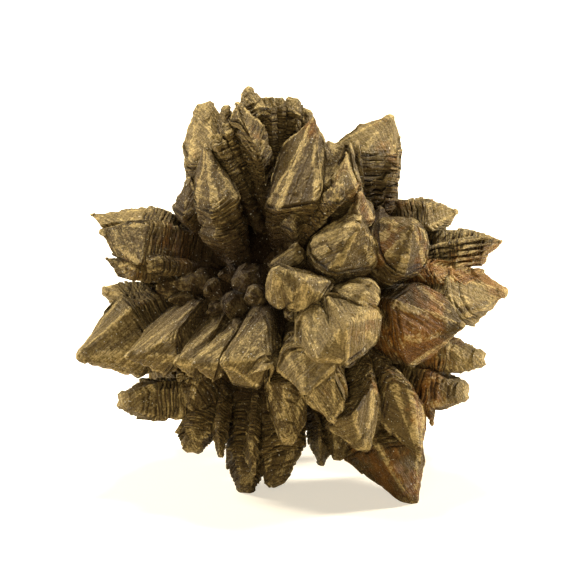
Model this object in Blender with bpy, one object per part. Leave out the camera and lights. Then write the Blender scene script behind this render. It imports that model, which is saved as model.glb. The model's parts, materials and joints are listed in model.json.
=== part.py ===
"""Marcasite specimen: a ball of spear-shaped crystals that grew out together from one centre.

It is one closed solid, resting on three of its own crystal tips. Each crystal is a blade that
widens outwards from its root in flat growth layers, and ends in a cap of flat faces that meet at
a slightly blunt tip. The crystals are joined by one Boolean union.

Lengths are in millimetres in the frame of the specimen's show side: x to the right, y up that
side and z out of it, from the point that the crystals grow from. LEAN_DEG and REST_HEIGHT place
that frame in the part's own one, in metres with +Z up and the origin under the middle.
"""

import math
import random

import bmesh
import bpy
from mathutils import Matrix, Vector

MM = 0.001
LEAN_DEG = 15.0            # the show side leans back this far from upright
REST_HEIGHT = 19.0         # from the resting surface up to the growth centre
CENTRE_OFFSET = (-0.25, 0.675)  # growth centre from the part's origin, in x and y

CORE_RADIUS = 8.5          # the grown-together middle, hidden between the crystals
FIRST_LAYER_AT = (0.34, 0.26, 0.18, 0.1, 0.02)  # from root (0) to rim (1), the first one covered
COVERED = 7.4              # nearer to the centre than this, the middle covers a growth layer
WAIST = 0.62               # how wide a crystal is at its root, as a part of its width at the rim
PLATE_WAIST = 0.92         # the same for plates and crystals with almost parallel sides
LAYER_PITCH = 5.0          # height of one growth layer
LAYER_STEP = 0.13          # how far a layer starts inside the rim of the one before
LAYER_SHIFT = 0.35         # how far a layer lies out of line, as a part of that step
TIP_SWELL = (0.15, 0.8)    # how far a sharp and a fully blunt tip bulge
TIP_CLEAR = 0.85           # but its shoulders stay lower than the tip itself
LUMP_ROOT_AT = 0.25        # short blunt crystals start this far out from the growth centre
LUMP_RIM_AT = (0.84, 0.94)  # how high up their rim corners may lie,
LUMP_REACH = (0.8, 1.2)    # how far out, as a part of their half-width,
LUMP_TURN_DEG = 18         # and how far round from an even pentagon
LUMP_BLUNT = 0.4
SLIT = 0.002               # corners this close together become one

# Crystals with corners set one by one: root, tip, how blunt the tip is (0 is sharp) and the rim
# corners, where the cap begins.
CRYSTALS = {
    # upper left: the spear beside the crest, and its shoulder
    "left_spear": ((-4.2, 0, 1), (-8.4, 14.5, 8.5), 0.12,
                   ((-9.4, 12.3, 7), (-9.7, 8.3, 8.6), (-7.5, 7.4, 12.4), (-4.9, 9.2, 12),
                    (-6.6, 13.2, 6), (-8, 12, 2))),
    "left_spear_foot": ((-4, 1.5, 3), (-7.5, 8.4, 11.6), 0.2,
                        ((-9.5, 5.7, 8.6), (-7, 5.2, 11.4), (-4.9, 5.9, 10.8), (-6.4, 7.6, 5))),
    "shoulder": ((-6, 1, 0), (-10.1, 11.3, 3), 0.3,
                 ((-12, 8.3, 2.5), (-10.6, 7.3, 5.8), (-9, 10, 4.5), (-10.4, 10, -4))),
    # left: the two blades, and the small ones under them
    "left_blade_top": ((-4, 3.6, 0), (-20, 7.6, 0.5), 0.1,
                       ((-14, 8.6, -5), (-13.6, 8.2, 1.2), (-14.2, 6.9, 4.4), (-18.6, 6, 3),
                        (-17, 4.5, -4))),
    "left_blade": ((-3, 2.8, 0), (-19, 5.9, 4.2), 0.2,
                   ((-16.8, 6.9, 3.6), (-13.8, 6.9, 5.6), (-14.9, 2.4, 7.6), (-18, 3.5, 5),
                    (-16, 5, -3))),
    "left_blade_foot": ((-3.4, 1.4, 1), (-14, 2.6, 7.4), 0.5,
                        ((-14.4, 3.6, 6.6), (-12.4, 3.4, 7.4), (-12.4, 1.5, 7.4), (-14.2, 1.6, 6.4),
                         (-13.6, 2.4, 0))),
    "left_wedge": ((-3.4, 0.8, 0), (-18.4, 3.2, 4), 0.15,
                   ((-16.2, 3.5, 4.6), (-15.2, 2.4, 6.2), (-15.4, 0.8, 5.8), (-17.4, 1.3, 4.2),
                    (-16, 1.5, -3.5))),
    "left_tooth": ((-4, 0, -2), (-18.9, -0.1, -3), 0.45,
                   ((-17.4, 1, -2.5), (-16, -0.6, 0.6), (-17.6, -1.9, -1.4), (-17, -1, -8))),
    # lower left: the comb, five blades behind one another on one keel
    "comb_a": ((-3, 0.8, -3), (-21.3, -6.8, 4.2), 0.22,
               ((-18.9, -2.4, -0.5), (-17, -0.4, -0.4), (-15.8, -1.4, 4.8), (-13.4, -5.2, 5.4),
                (-13.6, -7.1, 5.6), (-15, -9, 2.4), (-17.5, -7.4, -4))),
    "comb_b": ((-2, 0.8, -2), (-16.4, -6.6, 9), 0.12,
               ((-14.9, -4.1, 5.2), (-9.9, 0, 5), (-8.8, -1, 9), (-11.2, -4.1, 10.4),
                (-10.9, -7, 10.6), (-12.4, -8.8, 7.4), (-13.5, -7, 0))),
    "comb_c": ((-1, 0.8, 0), (-11.5, -7.1, 12), 0.16,
               ((-9.2, -3.2, 8.2), (-6.3, -0.8, 8), (-6.8, -3, 11.4), (-9.2, -7.2, 12.9),
                (-9.6, -9, 10.4), (-9.8, -7, 4))),
    "comb_d": ((0, 0.6, 0), (-9.7, -7.2, 13.8), 0.16,
               ((-7.6, -3.9, 10.4), (-5.5, -2.4, 10.2), (-4.8, -3.4, 12.4), (-6.6, -5.8, 14),
                (-7, -7.6, 14.6), (-7.6, -9.4, 12), (-7.6, -7.5, 6))),
    "comb_e": ((0, 0, 2), (-6.8, -6.9, 15.7), 0.2,
               ((-5.6, -4.7, 12.2), (-3.3, -1, 11.2), (-2.1, -2.8, 13.2), (-1.7, -6.4, 16),
                (-3, -9.9, 14.6), (-6, -9.3, 13))),
    "keel_front": ((-1, -3, 2), (-1.9, -7.6, 17), 0.5,
                   ((-4.6, -8.6, 15.6), (-2.9, -6.2, 16.2), (-0.9, -6.6, 15.4), (-2.4, -9.8, 14),
                    (-2.6, -8, 9))),
    "low_left_leaf": ((-2, -4, 0), (-9.9, -11.9, 6.2), 0.3,
                      ((-11.6, -9.4, 5), (-9.4, -8.8, 7.8), (-7.7, -11.6, 5.6), (-9, -11, 0))),
    # bottom: the short crystals over the fan, and the feet
    "low_middle": ((-0.2, -2, 4), (-0.2, -14.9, 12.6), 0.5,
                   ((-2.6, -9.2, 13.2), (-1.9, -13, 12.4), (1.6, -13.4, 11.8), (1.7, -10, 13.4),
                    (-0.4, -9, 14.8), (0, -13, 5))),
    "under_tooth_a": ((1, -5, 0), (3.1, -17.6, 0.5), 0.4,
                      ((1.6, -15.6, 0), (3, -14.6, 4), (4.3, -16.2, 0), (3, -15.5, -5))),
    "under_tooth_b": ((1.5, -4, 0), (4.6, -17, 1.5), 0.4,
                      ((3.4, -15.7, 1), (4.2, -13.6, 5.5), (7, -16, 2), (4.5, -15, -4))),
    "right_foot": ((3.5, -4, 0), (12.2, -21.4, 5.5), 0.3,
                   ((5, -17, 0.5), (8.4, -15.2, 9.4), (13.2, -14.8, 6.5), (13.6, -17.5, 3),
                    (11, -16.5, -5))),
    "low_right_fin": ((5.5, -3, 2), (12.9, -16.5, 9), 0.2,
                      ((8.6, -13.4, 11), (9.8, -8.6, 13.8), (12, -9.6, 13), (13.4, -11.6, 9),
                       (13.6, -14, 8), (12, -13, -1))),
    "low_right_thumb": ((6, -3, 4), (7.4, -15.6, 14.2), 0.4,
                        ((3.4, -13.6, 13), (6.2, -11.8, 17.4), (8.4, -9, 15), (9, -12, 13.4),
                         (8.4, -14.6, 12.6), (5.6, -14.2, 8))),
    "low_centre": ((4, -3, 5), (4.2, -13, 17.4), 0.25,
                   ((1.2, -11, 15), (1.8, -9.8, 16.4), (4.2, -8.2, 19.4), (5.6, -11.4, 18),
                    (4.4, -12.6, 14), (3.6, -12, 10))),
    # middle: the short crystals that point out of the show side
    "centre_low": ((1.5, -2.5, 6), (1.4, -10.2, 18.8), 0.2,
                   ((-1.5, -8, 17), (-0.6, -5.8, 17.6), (0.9, -5.4, 18.4), (4.8, -7.2, 19.4),
                    (4, -8.6, 18.6), (1, -9, 12))),
    "centre_left": ((2.6, -2, 6), (2.6, -6.6, 20.4), 0.1,
                    ((0.6, -6.1, 17.4), (0.7, -2.7, 17.4), (2.6, -1.2, 17.6), (5.2, -3.6, 19.6),
                     (5.4, -7.4, 19.4), (2.4, -7.6, 17.6))),
    "centre_right": ((4.2, -2, 6), (5.6, -3.2, 20.8), 0.1,
                     ((3.2, -0.2, 18), (7.6, -1.2, 17.8), (9.1, -2, 16.4), (8.8, -5, 16.4),
                      (5.6, -7.8, 18.6), (4, -5.4, 19.6))),
    "centre_striped": ((4.4, -0.8, 5), (8, 0.9, 17.6), 0.15,
                       ((4.4, 0.3, 16), (7.2, 1.4, 16), (8.9, 0.6, 15.4), (9, -1.6, 15.8),
                        (7.2, -1.8, 18.6), (4.9, -0.6, 18.2))),
    "centre_top_left": ((0.4, 0, 4), (-1.6, 1.8, 17.8), 0.12,
                        ((-2.6, 1, 15.6), (-1.5, 2.8, 15.6), (0.4, 2, 17), (0.5, -1, 17.6),
                         (-1, -2, 16.4), (-2.4, -1.2, 15.4))),
    "centre_top_right": ((1.4, 0, 4), (1.4, 0.9, 19), 0.12,
                         ((0, 2.2, 16.8), (2.4, 1.6, 16.6), (4.5, 1, 15.8), (3.2, -0.8, 17.6),
                          (1.2, -2.2, 17), (-0.6, -1.8, 16.4))),
    "upper_block": ((3, -0.5, 4), (6.7, 6.3, 16.8), 0.12,
                    ((1.6, 4.9, 14.5), (3.8, 6.6, 14.7), (6.7, 7.9, 14.6), (8.7, 4.6, 13.6),
                     (8.6, 2.2, 13.4), (4.2, 1.5, 16.6), (2, 3.2, 15.4))),
    "upper_block_foot": ((1, 0, 4), (0.6, 4.6, 14.4), 0.3,
                         ((-2.6, 2.5, 12.6), (0.2, 4.4, 13), (1.6, 4.2, 13.4), (1.4, 2.4, 14),
                          (-0.6, 2, 13.8))),
    "right_block": ((5, -0.5, 2), (12.1, 6.3, 12.8), 0.12,
                    ((8.4, 5.2, 10.8), (8.6, 7.2, 9), (12.6, 7.4, 9), (13.9, 5.2, 9.6),
                     (13.6, 2.2, 10), (11, 1.2, 13), (9, 3, 13))),
    # right
    "right_point": ((5, 0, 0), (21.8, -0.2, 2), 0.22,
                    ((19.4, 2.2, 0.5), (15.6, 1.7, 6.4), (15.8, -1.2, 8.6), (17.2, -3, 7.6),
                     (18.6, -3.7, 3.4), (18, -1.5, -8))),
    "right_slab": ((4, -2, 2), (17.3, -3.5, 9.8), 0.12,
                   ((15.8, -0.6, 8.2), (12.6, 0.8, 9.6), (9.8, -1, 12.6), (10.6, -5.5, 13),
                    (11.9, -7.9, 10), (14.8, -6.2, 7.6), (14, -4, -1))),
    # top
    "top_spear": ((0.6, 1.5, 3), (2.3, 17, 11.4), 0.08,
                  ((-0.7, 14.7, 9.6), (-2.5, 8.2, 11), (-1.5, 7.9, 13.4), (2.8, 8.6, 15.2),
                   (3.3, 10, 14.6), (3.5, 15, 11), (2, 13, 0))),
    "top_side": ((3, 1.5, 2), (4.4, 14.5, 9.4), 0.7,
                 ((2.8, 13.6, 11.4), (3.4, 10, 14), (5.5, 9.8, 13), (5.9, 12.8, 9), (4.4, 13.4, 0))),
    "top_spear_foot": ((1, 1, 3), (0.2, 7.4, 14), 0.3,
                       ((-1.4, 6.6, 12.6), (0.4, 5.6, 14.4), (1.6, 7.2, 13.6), (0, 7.5, 8))),
    "top_back_spear": ((1, 4, 0), (1.8, 18, 2), 0.3,
                       ((0.4, 16.2, 1), (1.8, 14.8, 6), (3.4, 15.6, 2), (1.8, 16, -6))),
    "small_spear": ((3.8, 2.5, 3), (5.5, 13.6, 13), 0.1,
                    ((3.9, 11.2, 13.2), (4.8, 9.8, 15.6), (6.9, 10.2, 14), (6.3, 12.8, 9))),
    "low_spear_right": ((4, 1.5, 3), (6.8, 9.7, 13), 0.3,
                        ((5.4, 7.4, 14), (6.4, 6.4, 14.6), (8.4, 7, 12.6), (8.2, 8.8, 10),
                         (6.4, 9, 8))),
    "right_fin_foot": ((4.5, 2, 0), (9, 8.4, 3.4), 0.3,
                       ((7.6, 7.4, 4.6), (9, 6.2, 6.4), (10.6, 6.6, 3.6), (9.5, 7.8, -2))),
}

# Crystals with almost parallel sides, in the same order of numbers.
PLATES = {
    "crest_peak": ((-1.6, 6, 0), (-4.2, 20.3, 3.5), 0.3,
                   ((-6.2, 17.2, 3.2), (-5, 16.6, 6.2), (-2.3, 17.4, 5.6), (-1.8, 18.4, 3.4),
                    (-4, 18.6, -3))),
    "crest_front": ((-2, 5.5, 3), (-5.2, 18.6, 8), 0.3,
                    ((-6.4, 16.8, 7.4), (-4.9, 16.4, 9.8), (-3.3, 14.2, 11), (-2.4, 16.4, 7),
                     (-4.4, 17.6, 1))),
    "crest_wall": ((-0.6, 7, -2), (-1, 18.9, -0.5), 0.9,
                   ((-4.4, 18.4, -1), (-3, 17.6, 4), (0.6, 17.2, 3.6), (1.9, 17.4, 0), (-1, 18, -5))),
    "crest_plate_a": ((-1.6, 7, 0), (-2.2, 19.1, 3.6), 0.8,
                      ((-3.2, 18.2, 5.4), (-1.4, 18.2, 6.2), (-1.2, 18.3, 0), (-3.2, 18.2, -3))),
    "crest_plate_b": ((-1, 7, 0), (-1.1, 19.1, 3), 0.8,
                      ((-1.7, 18.3, 4.8), (-0.4, 18.2, 5.2), (-0.3, 18.3, 0), (-1.7, 18.2, -3))),
    "crest_plate_c": ((-0.6, 7, 0), (0.3, 19.1, 2.6), 0.75,
                      ((-0.7, 18.2, 4), (1.1, 17.4, 5), (1.5, 17.6, -1), (-0.6, 18, -3))),
    "crest_plate_d": ((0, 7, 0), (1.7, 18.1, 1), 0.6,
                      ((0.8, 17.4, 2.6), (2.5, 16.4, 3), (2.8, 16.6, -3), (0.8, 17.2, -4))),
    "left_fin": ((-7, 3.5, -1), (-8.7, 18.7, -0.5), 0.5,
                 ((-10.9, 14.9, -1), (-10.3, 12.6, 3), (-7.2, 13.6, 4.8), (-6.2, 17, 1.2),
                  (-8.6, 15.4, -8))),
    "right_fin": ((8, 3, -1), (10.2, 17.6, -1), 0.2,
                  ((4.6, 14.8, 0), (6.8, 13.6, 4.4), (10.6, 13.4, 3), (11.2, 15.6, -1.5),
                   (9.6, 15.4, -9), (7.4, 17, -3))),
    "fin_splinter": ((-3.8, 7, 0), (-6.4, 18.4, 1.5), 0.5,
                     ((-7.6, 16.8, 1), (-7, 15, 4.8), (-5.2, 16.9, 2.4), (-6.3, 17, -5))),
    "page_a": ((-2.8, 5.6, 5), (-7.4, 15.3, 8.6), 0.7,
               ((-8, 14.4, 8.8), (-7.2, 14.2, 10.2), (-6.3, 14.9, 9.2), (-6.4, 14.6, 2),
                (-7.8, 14.2, 2))),
    "page_b": ((-2.4, 5.8, 4), (-6.4, 16.5, 7.6), 0.7,
               ((-6.9, 15.6, 7.8), (-6.2, 15.5, 9.2), (-5.4, 15.9, 8.2), (-5.5, 15.4, 2),
                (-6.8, 15.2, 2))),
    "low_spear": ((-2.2, 1.8, 8), (4.9, 10.3, 15.4), 0.75,
                  ((3.4, 9.7, 14.4), (3.8, 8.5, 16), (5.3, 8.5, 16.2), (5.5, 9.8, 14.4),
                   (4.4, 9.4, 11))),
    "low_left_thumb": ((-3.5, -10.2, 0), (-17.1, -11, 2.5), 0.5,
                       ((-15.2, -9, 1), (-13.2, -9.2, 5.8), (-13.4, -12.9, 5), (-15.6, -12.9, 1),
                        (-14.4, -11.5, -4))),
    "fan_left": ((-6.6, -5, 0), (-9.7, -16.1, 4.5), 0.6,
                 ((-11.4, -14.8, 3), (-10.4, -13.6, 7), (-7.7, -14, 6), (-7.4, -15.2, 2),
                  (-9.4, -14.6, -2))),
    "fan_splinter": ((-6, -5, 1), (-6.9, -16.6, 6.4), 0.5,
                     ((-7.9, -14.6, 5.4), (-7.2, -13.6, 8.4), (-6, -14.8, 6.6), (-6.9, -14.6, 0))),
    "fan_foot": ((-4.3, -4, 0), (-4.5, -20.4, 1.4), 0.6,
                 ((-6.4, -17.8, 1.8), (-5.6, -16.6, 6.2), (-3, -17, 6.8), (-2, -18.4, 2),
                  (-4.4, -17.8, -4))),
    "fan_rib": ((-2.6, -4.5, 1), (-3.6, -18.4, 6.6), 0.5,
                ((-4.8, -16.4, 6.6), (-4, -14.6, 9.4), (-2.9, -16, 8), (-3.6, -16, 0))),
    "fan_right": ((-1.4, -4, 1), (-1.4, -19.5, 4.6), 0.6,
                  ((-3.4, -18, 4.6), (-2.5, -16.4, 8.8), (0.7, -15.6, 8), (1.8, -15.6, 4.6),
                   (-0.8, -17, -3))),
    "small_page_a": ((4.2, 3, 2), (6, 14.2, 11), 0.5,
                     ((5.5, 13.4, 11.4), (6.6, 11, 13.6), (7.2, 10.4, 12), (6.6, 13.5, 5))),
    "small_page_b": ((4.4, 3, 2), (6.7, 14.6, 8.6), 0.5,
                     ((5.8, 13.8, 9), (7, 12.6, 10.4), (7.4, 10.4, 10.6), (7.2, 13.8, 3))),
    "right_top_fin": ((3.2, 7, -2), (16.9, 7.9, -1), 0.2,
                      ((14.6, 9.2, -3), (13.4, 9.1, 1.8), (14, 5.8, 3.8), (15.8, 5.9, 0),
                       (14.6, 6.6, -8))),
    "ribbed_body": ((5, 5.2, 0), (21.3, 4.9, 0), 0.15,
                    ((20, 5.6, -2.5), (18.8, 5.8, 1.8), (18.2, 2.5, 3.6), (19.4, 2.3, 0.6),
                     (19, 2.8, -4.5))),
    "right_rusty": ((5, 2, 0), (19.4, 1.9, 3), 0.3,
                    ((17, 2.6, 4), (14.2, 3, 5.6), (14.4, 1, 7.6), (16.6, -0.4, 6.4), (16, 1, -4))),
    "right_low_fin": ((4.5, -4.4, 0), (19.4, -6.9, 1.5), 0.6,
                      ((17.4, -4.9, 1.5), (15.6, -5.2, 5.6), (15.4, -8.4, 5), (17.4, -8.4, 1.5),
                       (17, -7, -5))),
    "right_low_thumb": ((4.5, -7.2, 0), (17.7, -10.2, 2), 0.6,
                        ((16.2, -8.2, 1.5), (14.2, -8.4, 6.2), (13.8, -11.9, 5.8), (15.8, -12, 1),
                         (15.5, -11, -5))),
    "right_low_splinter": ((5, -4.5, 0), (14.2, -13.6, 1.5), 0.4,
                           ((13, -12, 2), (13.6, -10.6, 4.6), (14.8, -11.9, 1.5),
                            (13.9, -12, -2.5))),
}

# Sheaves of thin parallel blades: the first blade, the shift to the next one, and their number.
SHEAVES = {
    "body_rib": ((6, 2.4, 1), (20.2, 5.2, 2.2), 0.3,
                 ((19, 5.4, 2.2), (17, 5.1, 4.6), (17, 4.6, 4.9), (19, 4.9, 2.6), (17, 4.7, -2)),
                 (-0.2, -0.85, 0.1), 3),
    "keel_pleat": ((-3, -5, 2), (-11, -9, 7), 0.6,
                   ((-11.4, -8.2, 6.4), (-10.6, -8, 7.2), (-10.3, -8.8, 6.8), (-11, -9, 4)),
                   (0.8, -0.1, 0.6), 3),
}

# Short blunt crystals deep between the large ones: tip and half-width.
LUMPS = {
    "pit_gem": ((-4.5, 1.4, 11), 1.9),
    "pit_dark_a": ((-7, 1.6, 9), 1.2),
    "pit_dark_b": ((-8.4, -0.1, 9.2), 1.4),
    "pit_dark_c": ((-9.8, 1.1, 7.6), 1.3),
    "pit_dark_d": ((-11.6, 0.7, 6.8), 1.2),
    "pit_dark_e": ((-13.3, 0.3, 5.8), 1.2),
    "pit_dark_f": ((-12, -1, 7), 1.2),
    "pit_grey_a": ((-3.9, -0.6, 12.6), 1.3),
    "pit_grey_b": ((-6.2, -1.6, 11.4), 1.5),
    "pit_grey_c": ((-8.2, -2.2, 9.8), 1.2),
    "knob": ((0.2, -2.8, 15.2), 1.0),
}

# Blades of the hidden side: tip, width, thickness, roll in degrees about their own axis, how blunt
# the tip is, and how many lie side by side.
BACK_BLADES = {
    "back_foot": ((-2.5, -15.9, -16.8), 7.0, 5.5, 20, 0.25, 1),
    "back_low_left": ((-13.5, -9.5, -12), 10.0, 4.5, 70, 0.15, 2),
    "back_left": ((-16.5, -1.5, -9.5), 9.5, 5.5, 10, 0.2, 1),
    "back_left_high": ((-14, 6.5, -12), 9.0, 6, -35, 0.15, 1),
    "back_high_left": ((-8, 13.5, -12), 10.0, 2.2, 60, 0.4, 4),
    "back_high": ((1, 15.5, -11.5), 8.5, 6, 15, 0.15, 1),
    "back_high_right": ((8.5, 11.5, -13.5), 10.0, 5.0, -50, 0.2, 1),
    "back_right_high": ((13.5, 6.5, -13), 9.0, 5.5, 30, 0.35, 1),
    "back_right": ((17, -0.5, -11.5), 10.5, 5.0, 85, 0.15, 1),
    "back_right_low": ((14.5, -8, -12), 9.0, 2.5, -20, 0.4, 3),
    "back_low_right": ((8, -14.5, -11.5), 9.5, 5.5, 50, 0.2, 1),
    "back_low": ((-8.5, -12.5, -12.5), 8.5, 5.5, -60, 0.35, 1),
    "back_middle": ((0.5, 1, -20.5), 9.5, 7.0, 25, 0.15, 1),
    "back_inner_high_left": ((-7, 6.5, -18.5), 10.0, 5.5, 75, 0.2, 1),
    "back_inner_high_right": ((6.5, 7, -18), 9.0, 3.0, -15, 0.3, 2),
    "back_inner_low_right": ((7, -6, -18.5), 10.5, 6.0, 40, 0.12, 1),
    "back_inner_low_left": ((-6.5, -6, -18.5), 10.5, 5.5, -40, 0.15, 1),
    "back_inner_left": ((-12.5, 0.5, -16), 8.0, 2.8, 5, 0.35, 3),
    "back_inner_right": ((12, 0.5, -16.5), 8.5, 6.5, -70, 0.2, 1),
    "back_inner_high": ((-0.5, 10.5, -17), 8.5, 5.5, 45, 0.25, 1),
    "back_inner_low": ((1.5, -9.5, -19), 7.5, 6, -10, 0.3, 1),
}
BACK_ROOT_AT = 0.15        # back blades start this far out from the growth centre
BACK_RIM_AT = 0.78         # and their cap begins here
BACK_PITCH = 0.85          # between blades that lie side by side, as a part of their thickness
# rim corners of a back blade: along its width, along its thickness and up or down its axis
BACK_RIM = (
    (0.50, 0.05, -0.05),
    (0.12, 0.50, 0.00),
    (-0.42, 0.30, 0.03),
    (-0.46, -0.22, -0.04),
    (0.10, -0.50, 0.02),
)


def first_layer(root, middle):
    """Where on the way from root to rim the layers begin: always where the middle covers them."""
    covered = [at for at in FIRST_LAYER_AT if root.lerp(middle, at).length < COVERED]
    return covered[0] if covered else 0.0


def layer_ring(root, middle, rim, along, spread, waist, shift):
    """One growth layer's corners: along runs from 0 at the root to 1 at the rim."""
    width = spread * (waist + (1 - waist) * along)
    centre = root.lerp(middle, along) + shift
    return [centre + width * (corner - middle) for corner in rim]


def sorted_round(root, middle, rim):
    """The rim corners in order round the crystal's axis."""
    axis = (middle - root).normalized()
    side = axis.orthogonal().normalized()
    other = axis.cross(side)
    return sorted(rim, key=lambda c: math.atan2((c - middle).dot(other), (c - middle).dot(side)))


def rounded_corner(corner, tip, middle, blunt):
    """Where a rim corner comes to lie on the shoulder of a blunt tip."""
    rise = tip - middle
    below = (tip - corner).dot(rise) / rise.length_squared
    share = min(TIP_SWELL[0] + TIP_SWELL[1] * blunt, TIP_CLEAR * below)
    return tip + blunt * (corner - tip) + rise * (blunt * share)


def crystal_mesh(name, root, tip, blunt, rim, waist):
    """A closed mesh of one crystal: layers that step outwards, and a cap of flat faces."""
    dice = random.Random(name)
    root, tip = Vector(root), Vector(tip)
    rim = [Vector(corner) for corner in rim]
    middle = sum(rim, Vector()) / len(rim)
    rim = sorted_round(root, middle, rim)
    body = bmesh.new()

    def add_ring(points):
        return [body.verts.new(point) for point in points]

    def bridge(lower, upper):
        for i, vert in enumerate(lower):
            j = (i + 1) % len(lower)
            body.faces.new((vert, lower[j], upper[j], upper[i]))

    start = first_layer(root, middle)
    layers = max(1, round((middle - root).length * (1 - start) / LAYER_PITCH))
    previous = None
    for i in range(layers):
        low = start + (1 - start) * i / layers
        high = start + (1 - start) * (i + 1) / layers
        last = i == layers - 1
        step = LAYER_STEP * dice.uniform(0.7, 1.3)
        towards = dice.choice(rim) - middle
        shift = towards * (0 if last else waist * LAYER_SHIFT * step)
        lower = add_ring(layer_ring(root, middle, rim, low, 1 - step, waist, shift))
        upper = add_ring(layer_ring(root, middle, rim, high, 1.0, waist, shift))
        if previous is None:
            body.faces.new(list(reversed(lower)))
        else:
            bridge(previous, lower)
        bridge(lower, upper)
        previous = upper
    shoulder = add_ring([rounded_corner(corner, tip, middle, blunt) for corner in rim])
    bridge(previous, shoulder)
    top = body.verts.new(tip)
    for i, vert in enumerate(shoulder):
        body.faces.new((vert, shoulder[(i + 1) % len(shoulder)], top))
    bmesh.ops.triangulate(body, faces=[f for f in body.faces if len(f.verts) > 4])
    bmesh.ops.recalc_face_normals(body, faces=body.faces)
    mesh = bpy.data.meshes.new(name)
    body.to_mesh(mesh)
    body.free()
    return mesh


def back_blades(tip, width, thickness, roll, blunt, count):
    """Root, tip, bluntness and rim corners of each blade in a group of the hidden side."""
    axis = Vector(tip).normalized()
    side = axis.cross(Vector((0, 1, 0))).normalized()
    side = Matrix.Rotation(math.radians(roll), 3, axis) @ side
    across = axis.cross(side)
    for i in range(count):
        place = i - (count - 1) / 2
        end = Vector(tip) * (1 - 0.02 * abs(place)) + across * (place * BACK_PITCH * thickness)
        middle = end * BACK_RIM_AT
        rim = [middle + side * (a * width) + across * (b * thickness) + end * c for a, b, c in BACK_RIM]
        yield end * BACK_ROOT_AT, end, blunt, rim


def lump_rim(tip, half_width, dice):
    """Five uneven corners around a short blunt crystal."""
    axis = Vector(tip).normalized()
    side = axis.orthogonal().normalized()
    for k in range(5):
        degrees = 72 * k + dice.uniform(-LUMP_TURN_DEG, LUMP_TURN_DEG)
        turned = Matrix.Rotation(math.radians(degrees), 3, axis) @ side
        out = half_width * dice.uniform(*LUMP_REACH)
        yield Vector(tip) * dice.uniform(*LUMP_RIM_AT) + turned * out


def all_crystals():
    """Every crystal of the specimen as name, root, tip, bluntness, rim corners and waist."""
    for name, crystal in CRYSTALS.items():
        yield name, *crystal, WAIST
    for name, crystal in PLATES.items():
        yield name, *crystal, PLATE_WAIST
    for name, (root, tip, blunt, rim, shift, count) in SHEAVES.items():
        for i in range(count):
            step = Vector(shift) * i
            moved = [Vector(corner) + step for corner in rim]
            yield f"{name}_{i}", root, Vector(tip) + step, blunt, moved, PLATE_WAIST
    for name, (tip, half_width) in LUMPS.items():
        rim = list(lump_rim(tip, half_width, random.Random(name)))
        yield name, Vector(tip) * LUMP_ROOT_AT, tip, LUMP_BLUNT, rim, PLATE_WAIST
    for name, group in BACK_BLADES.items():
        for i, blade in enumerate(back_blades(*group)):
            yield f"{name}_{i}", *blade, WAIST


def to_part_frame():
    """From millimetres in the show side's frame to metres in the part's frame."""
    lean = math.radians(LEAN_DEG)
    turn = Matrix((
        (1, 0, 0, 0),
        (0, math.sin(lean), -math.cos(lean), 0),
        (0, math.cos(lean), math.sin(lean), 0),
        (0, 0, 0, 1),
    ))
    place = Matrix.Translation((CENTRE_OFFSET[0], CENTRE_OFFSET[1], REST_HEIGHT))
    return Matrix.Scale(MM, 4) @ place @ turn


def core_mesh():
    """The grown-together middle that all the roots start in."""
    body = bmesh.new()
    bmesh.ops.create_icosphere(body, subdivisions=2, radius=CORE_RADIUS)
    mesh = bpy.data.meshes.new("core")
    body.to_mesh(mesh)
    body.free()
    return mesh


def helper(name, mesh, collection, matrix):
    """An operand of a Boolean, which isn't part of the finished object."""
    obj = bpy.data.objects.new(name, mesh)
    collection.objects.link(obj)
    obj.matrix_world = matrix
    obj.hide_render = True
    obj.display_type = "WIRE"
    return obj


def clear_scene():
    for obj in list(bpy.data.objects):
        bpy.data.objects.remove(obj, do_unlink=True)


def shells_of(body):
    """The faces sorted into shells, the smallest first. Faces belong together across an edge of two."""
    unseen = set(body.faces)
    shells = []
    while unseen:
        start = unseen.pop()
        shell, open_ends = [start], [start]
        while open_ends:
            face = open_ends.pop()
            pairs = [edge.link_faces for edge in face.edges if len(edge.link_faces) == 2]
            for other in set(face for pair in pairs for face in pair) & unseen:
                unseen.remove(other)
                shell.append(other)
                open_ends.append(other)
        shells.append(shell)
    return sorted(shells, key=len)


def keep_outer_surface(mesh):
    """Fills hollows sealed between the crystals, by dropping their walls."""
    body = bmesh.new()
    body.from_mesh(mesh)
    bmesh.ops.triangulate(body, faces=body.faces)
    bmesh.ops.remove_doubles(body, verts=body.verts, dist=SLIT)
    inner = [face for shell in shells_of(body)[:-1] for face in shell]
    bmesh.ops.delete(body, geom=inner, context="FACES")
    body.to_mesh(mesh)
    body.free()


def applied(obj):
    """The object's mesh with its modifiers worked out."""
    graph = bpy.context.evaluated_depsgraph_get()
    return bpy.data.meshes.new_from_object(obj.evaluated_get(graph))


def grown_together(frame):
    """All the crystals joined by one Boolean union, as a mesh in the frame of the show side."""
    crystals = bpy.data.collections.new("crystals")
    bpy.context.scene.collection.children.link(crystals)
    for name, *shape in all_crystals():
        helper(name, crystal_mesh(name, *shape), crystals, frame)
    core = helper("core", core_mesh(), bpy.context.scene.collection, frame)
    union = core.modifiers.new("grown_together", "BOOLEAN")
    union.operation = "UNION"
    union.operand_type = "COLLECTION"
    union.collection = crystals
    union.solver = "EXACT"
    mesh = applied(core)
    clear_scene()
    keep_outer_surface(mesh)
    return mesh


def resting_plane_cutter():
    """A block below the resting surface, which rubs the three feet flat."""
    body = bmesh.new()
    bmesh.ops.create_cube(body, size=1.0)
    mesh = bpy.data.meshes.new("resting_plane")
    body.to_mesh(mesh)
    body.free()
    across, deep = 60 * MM, 10 * MM
    place = Matrix.Translation((0, 0, -deep / 2)) @ Matrix.Diagonal((across, across, deep, 1))
    mesh.transform(place)
    return helper("resting_plane", mesh, bpy.context.scene.collection, Matrix())


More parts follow.
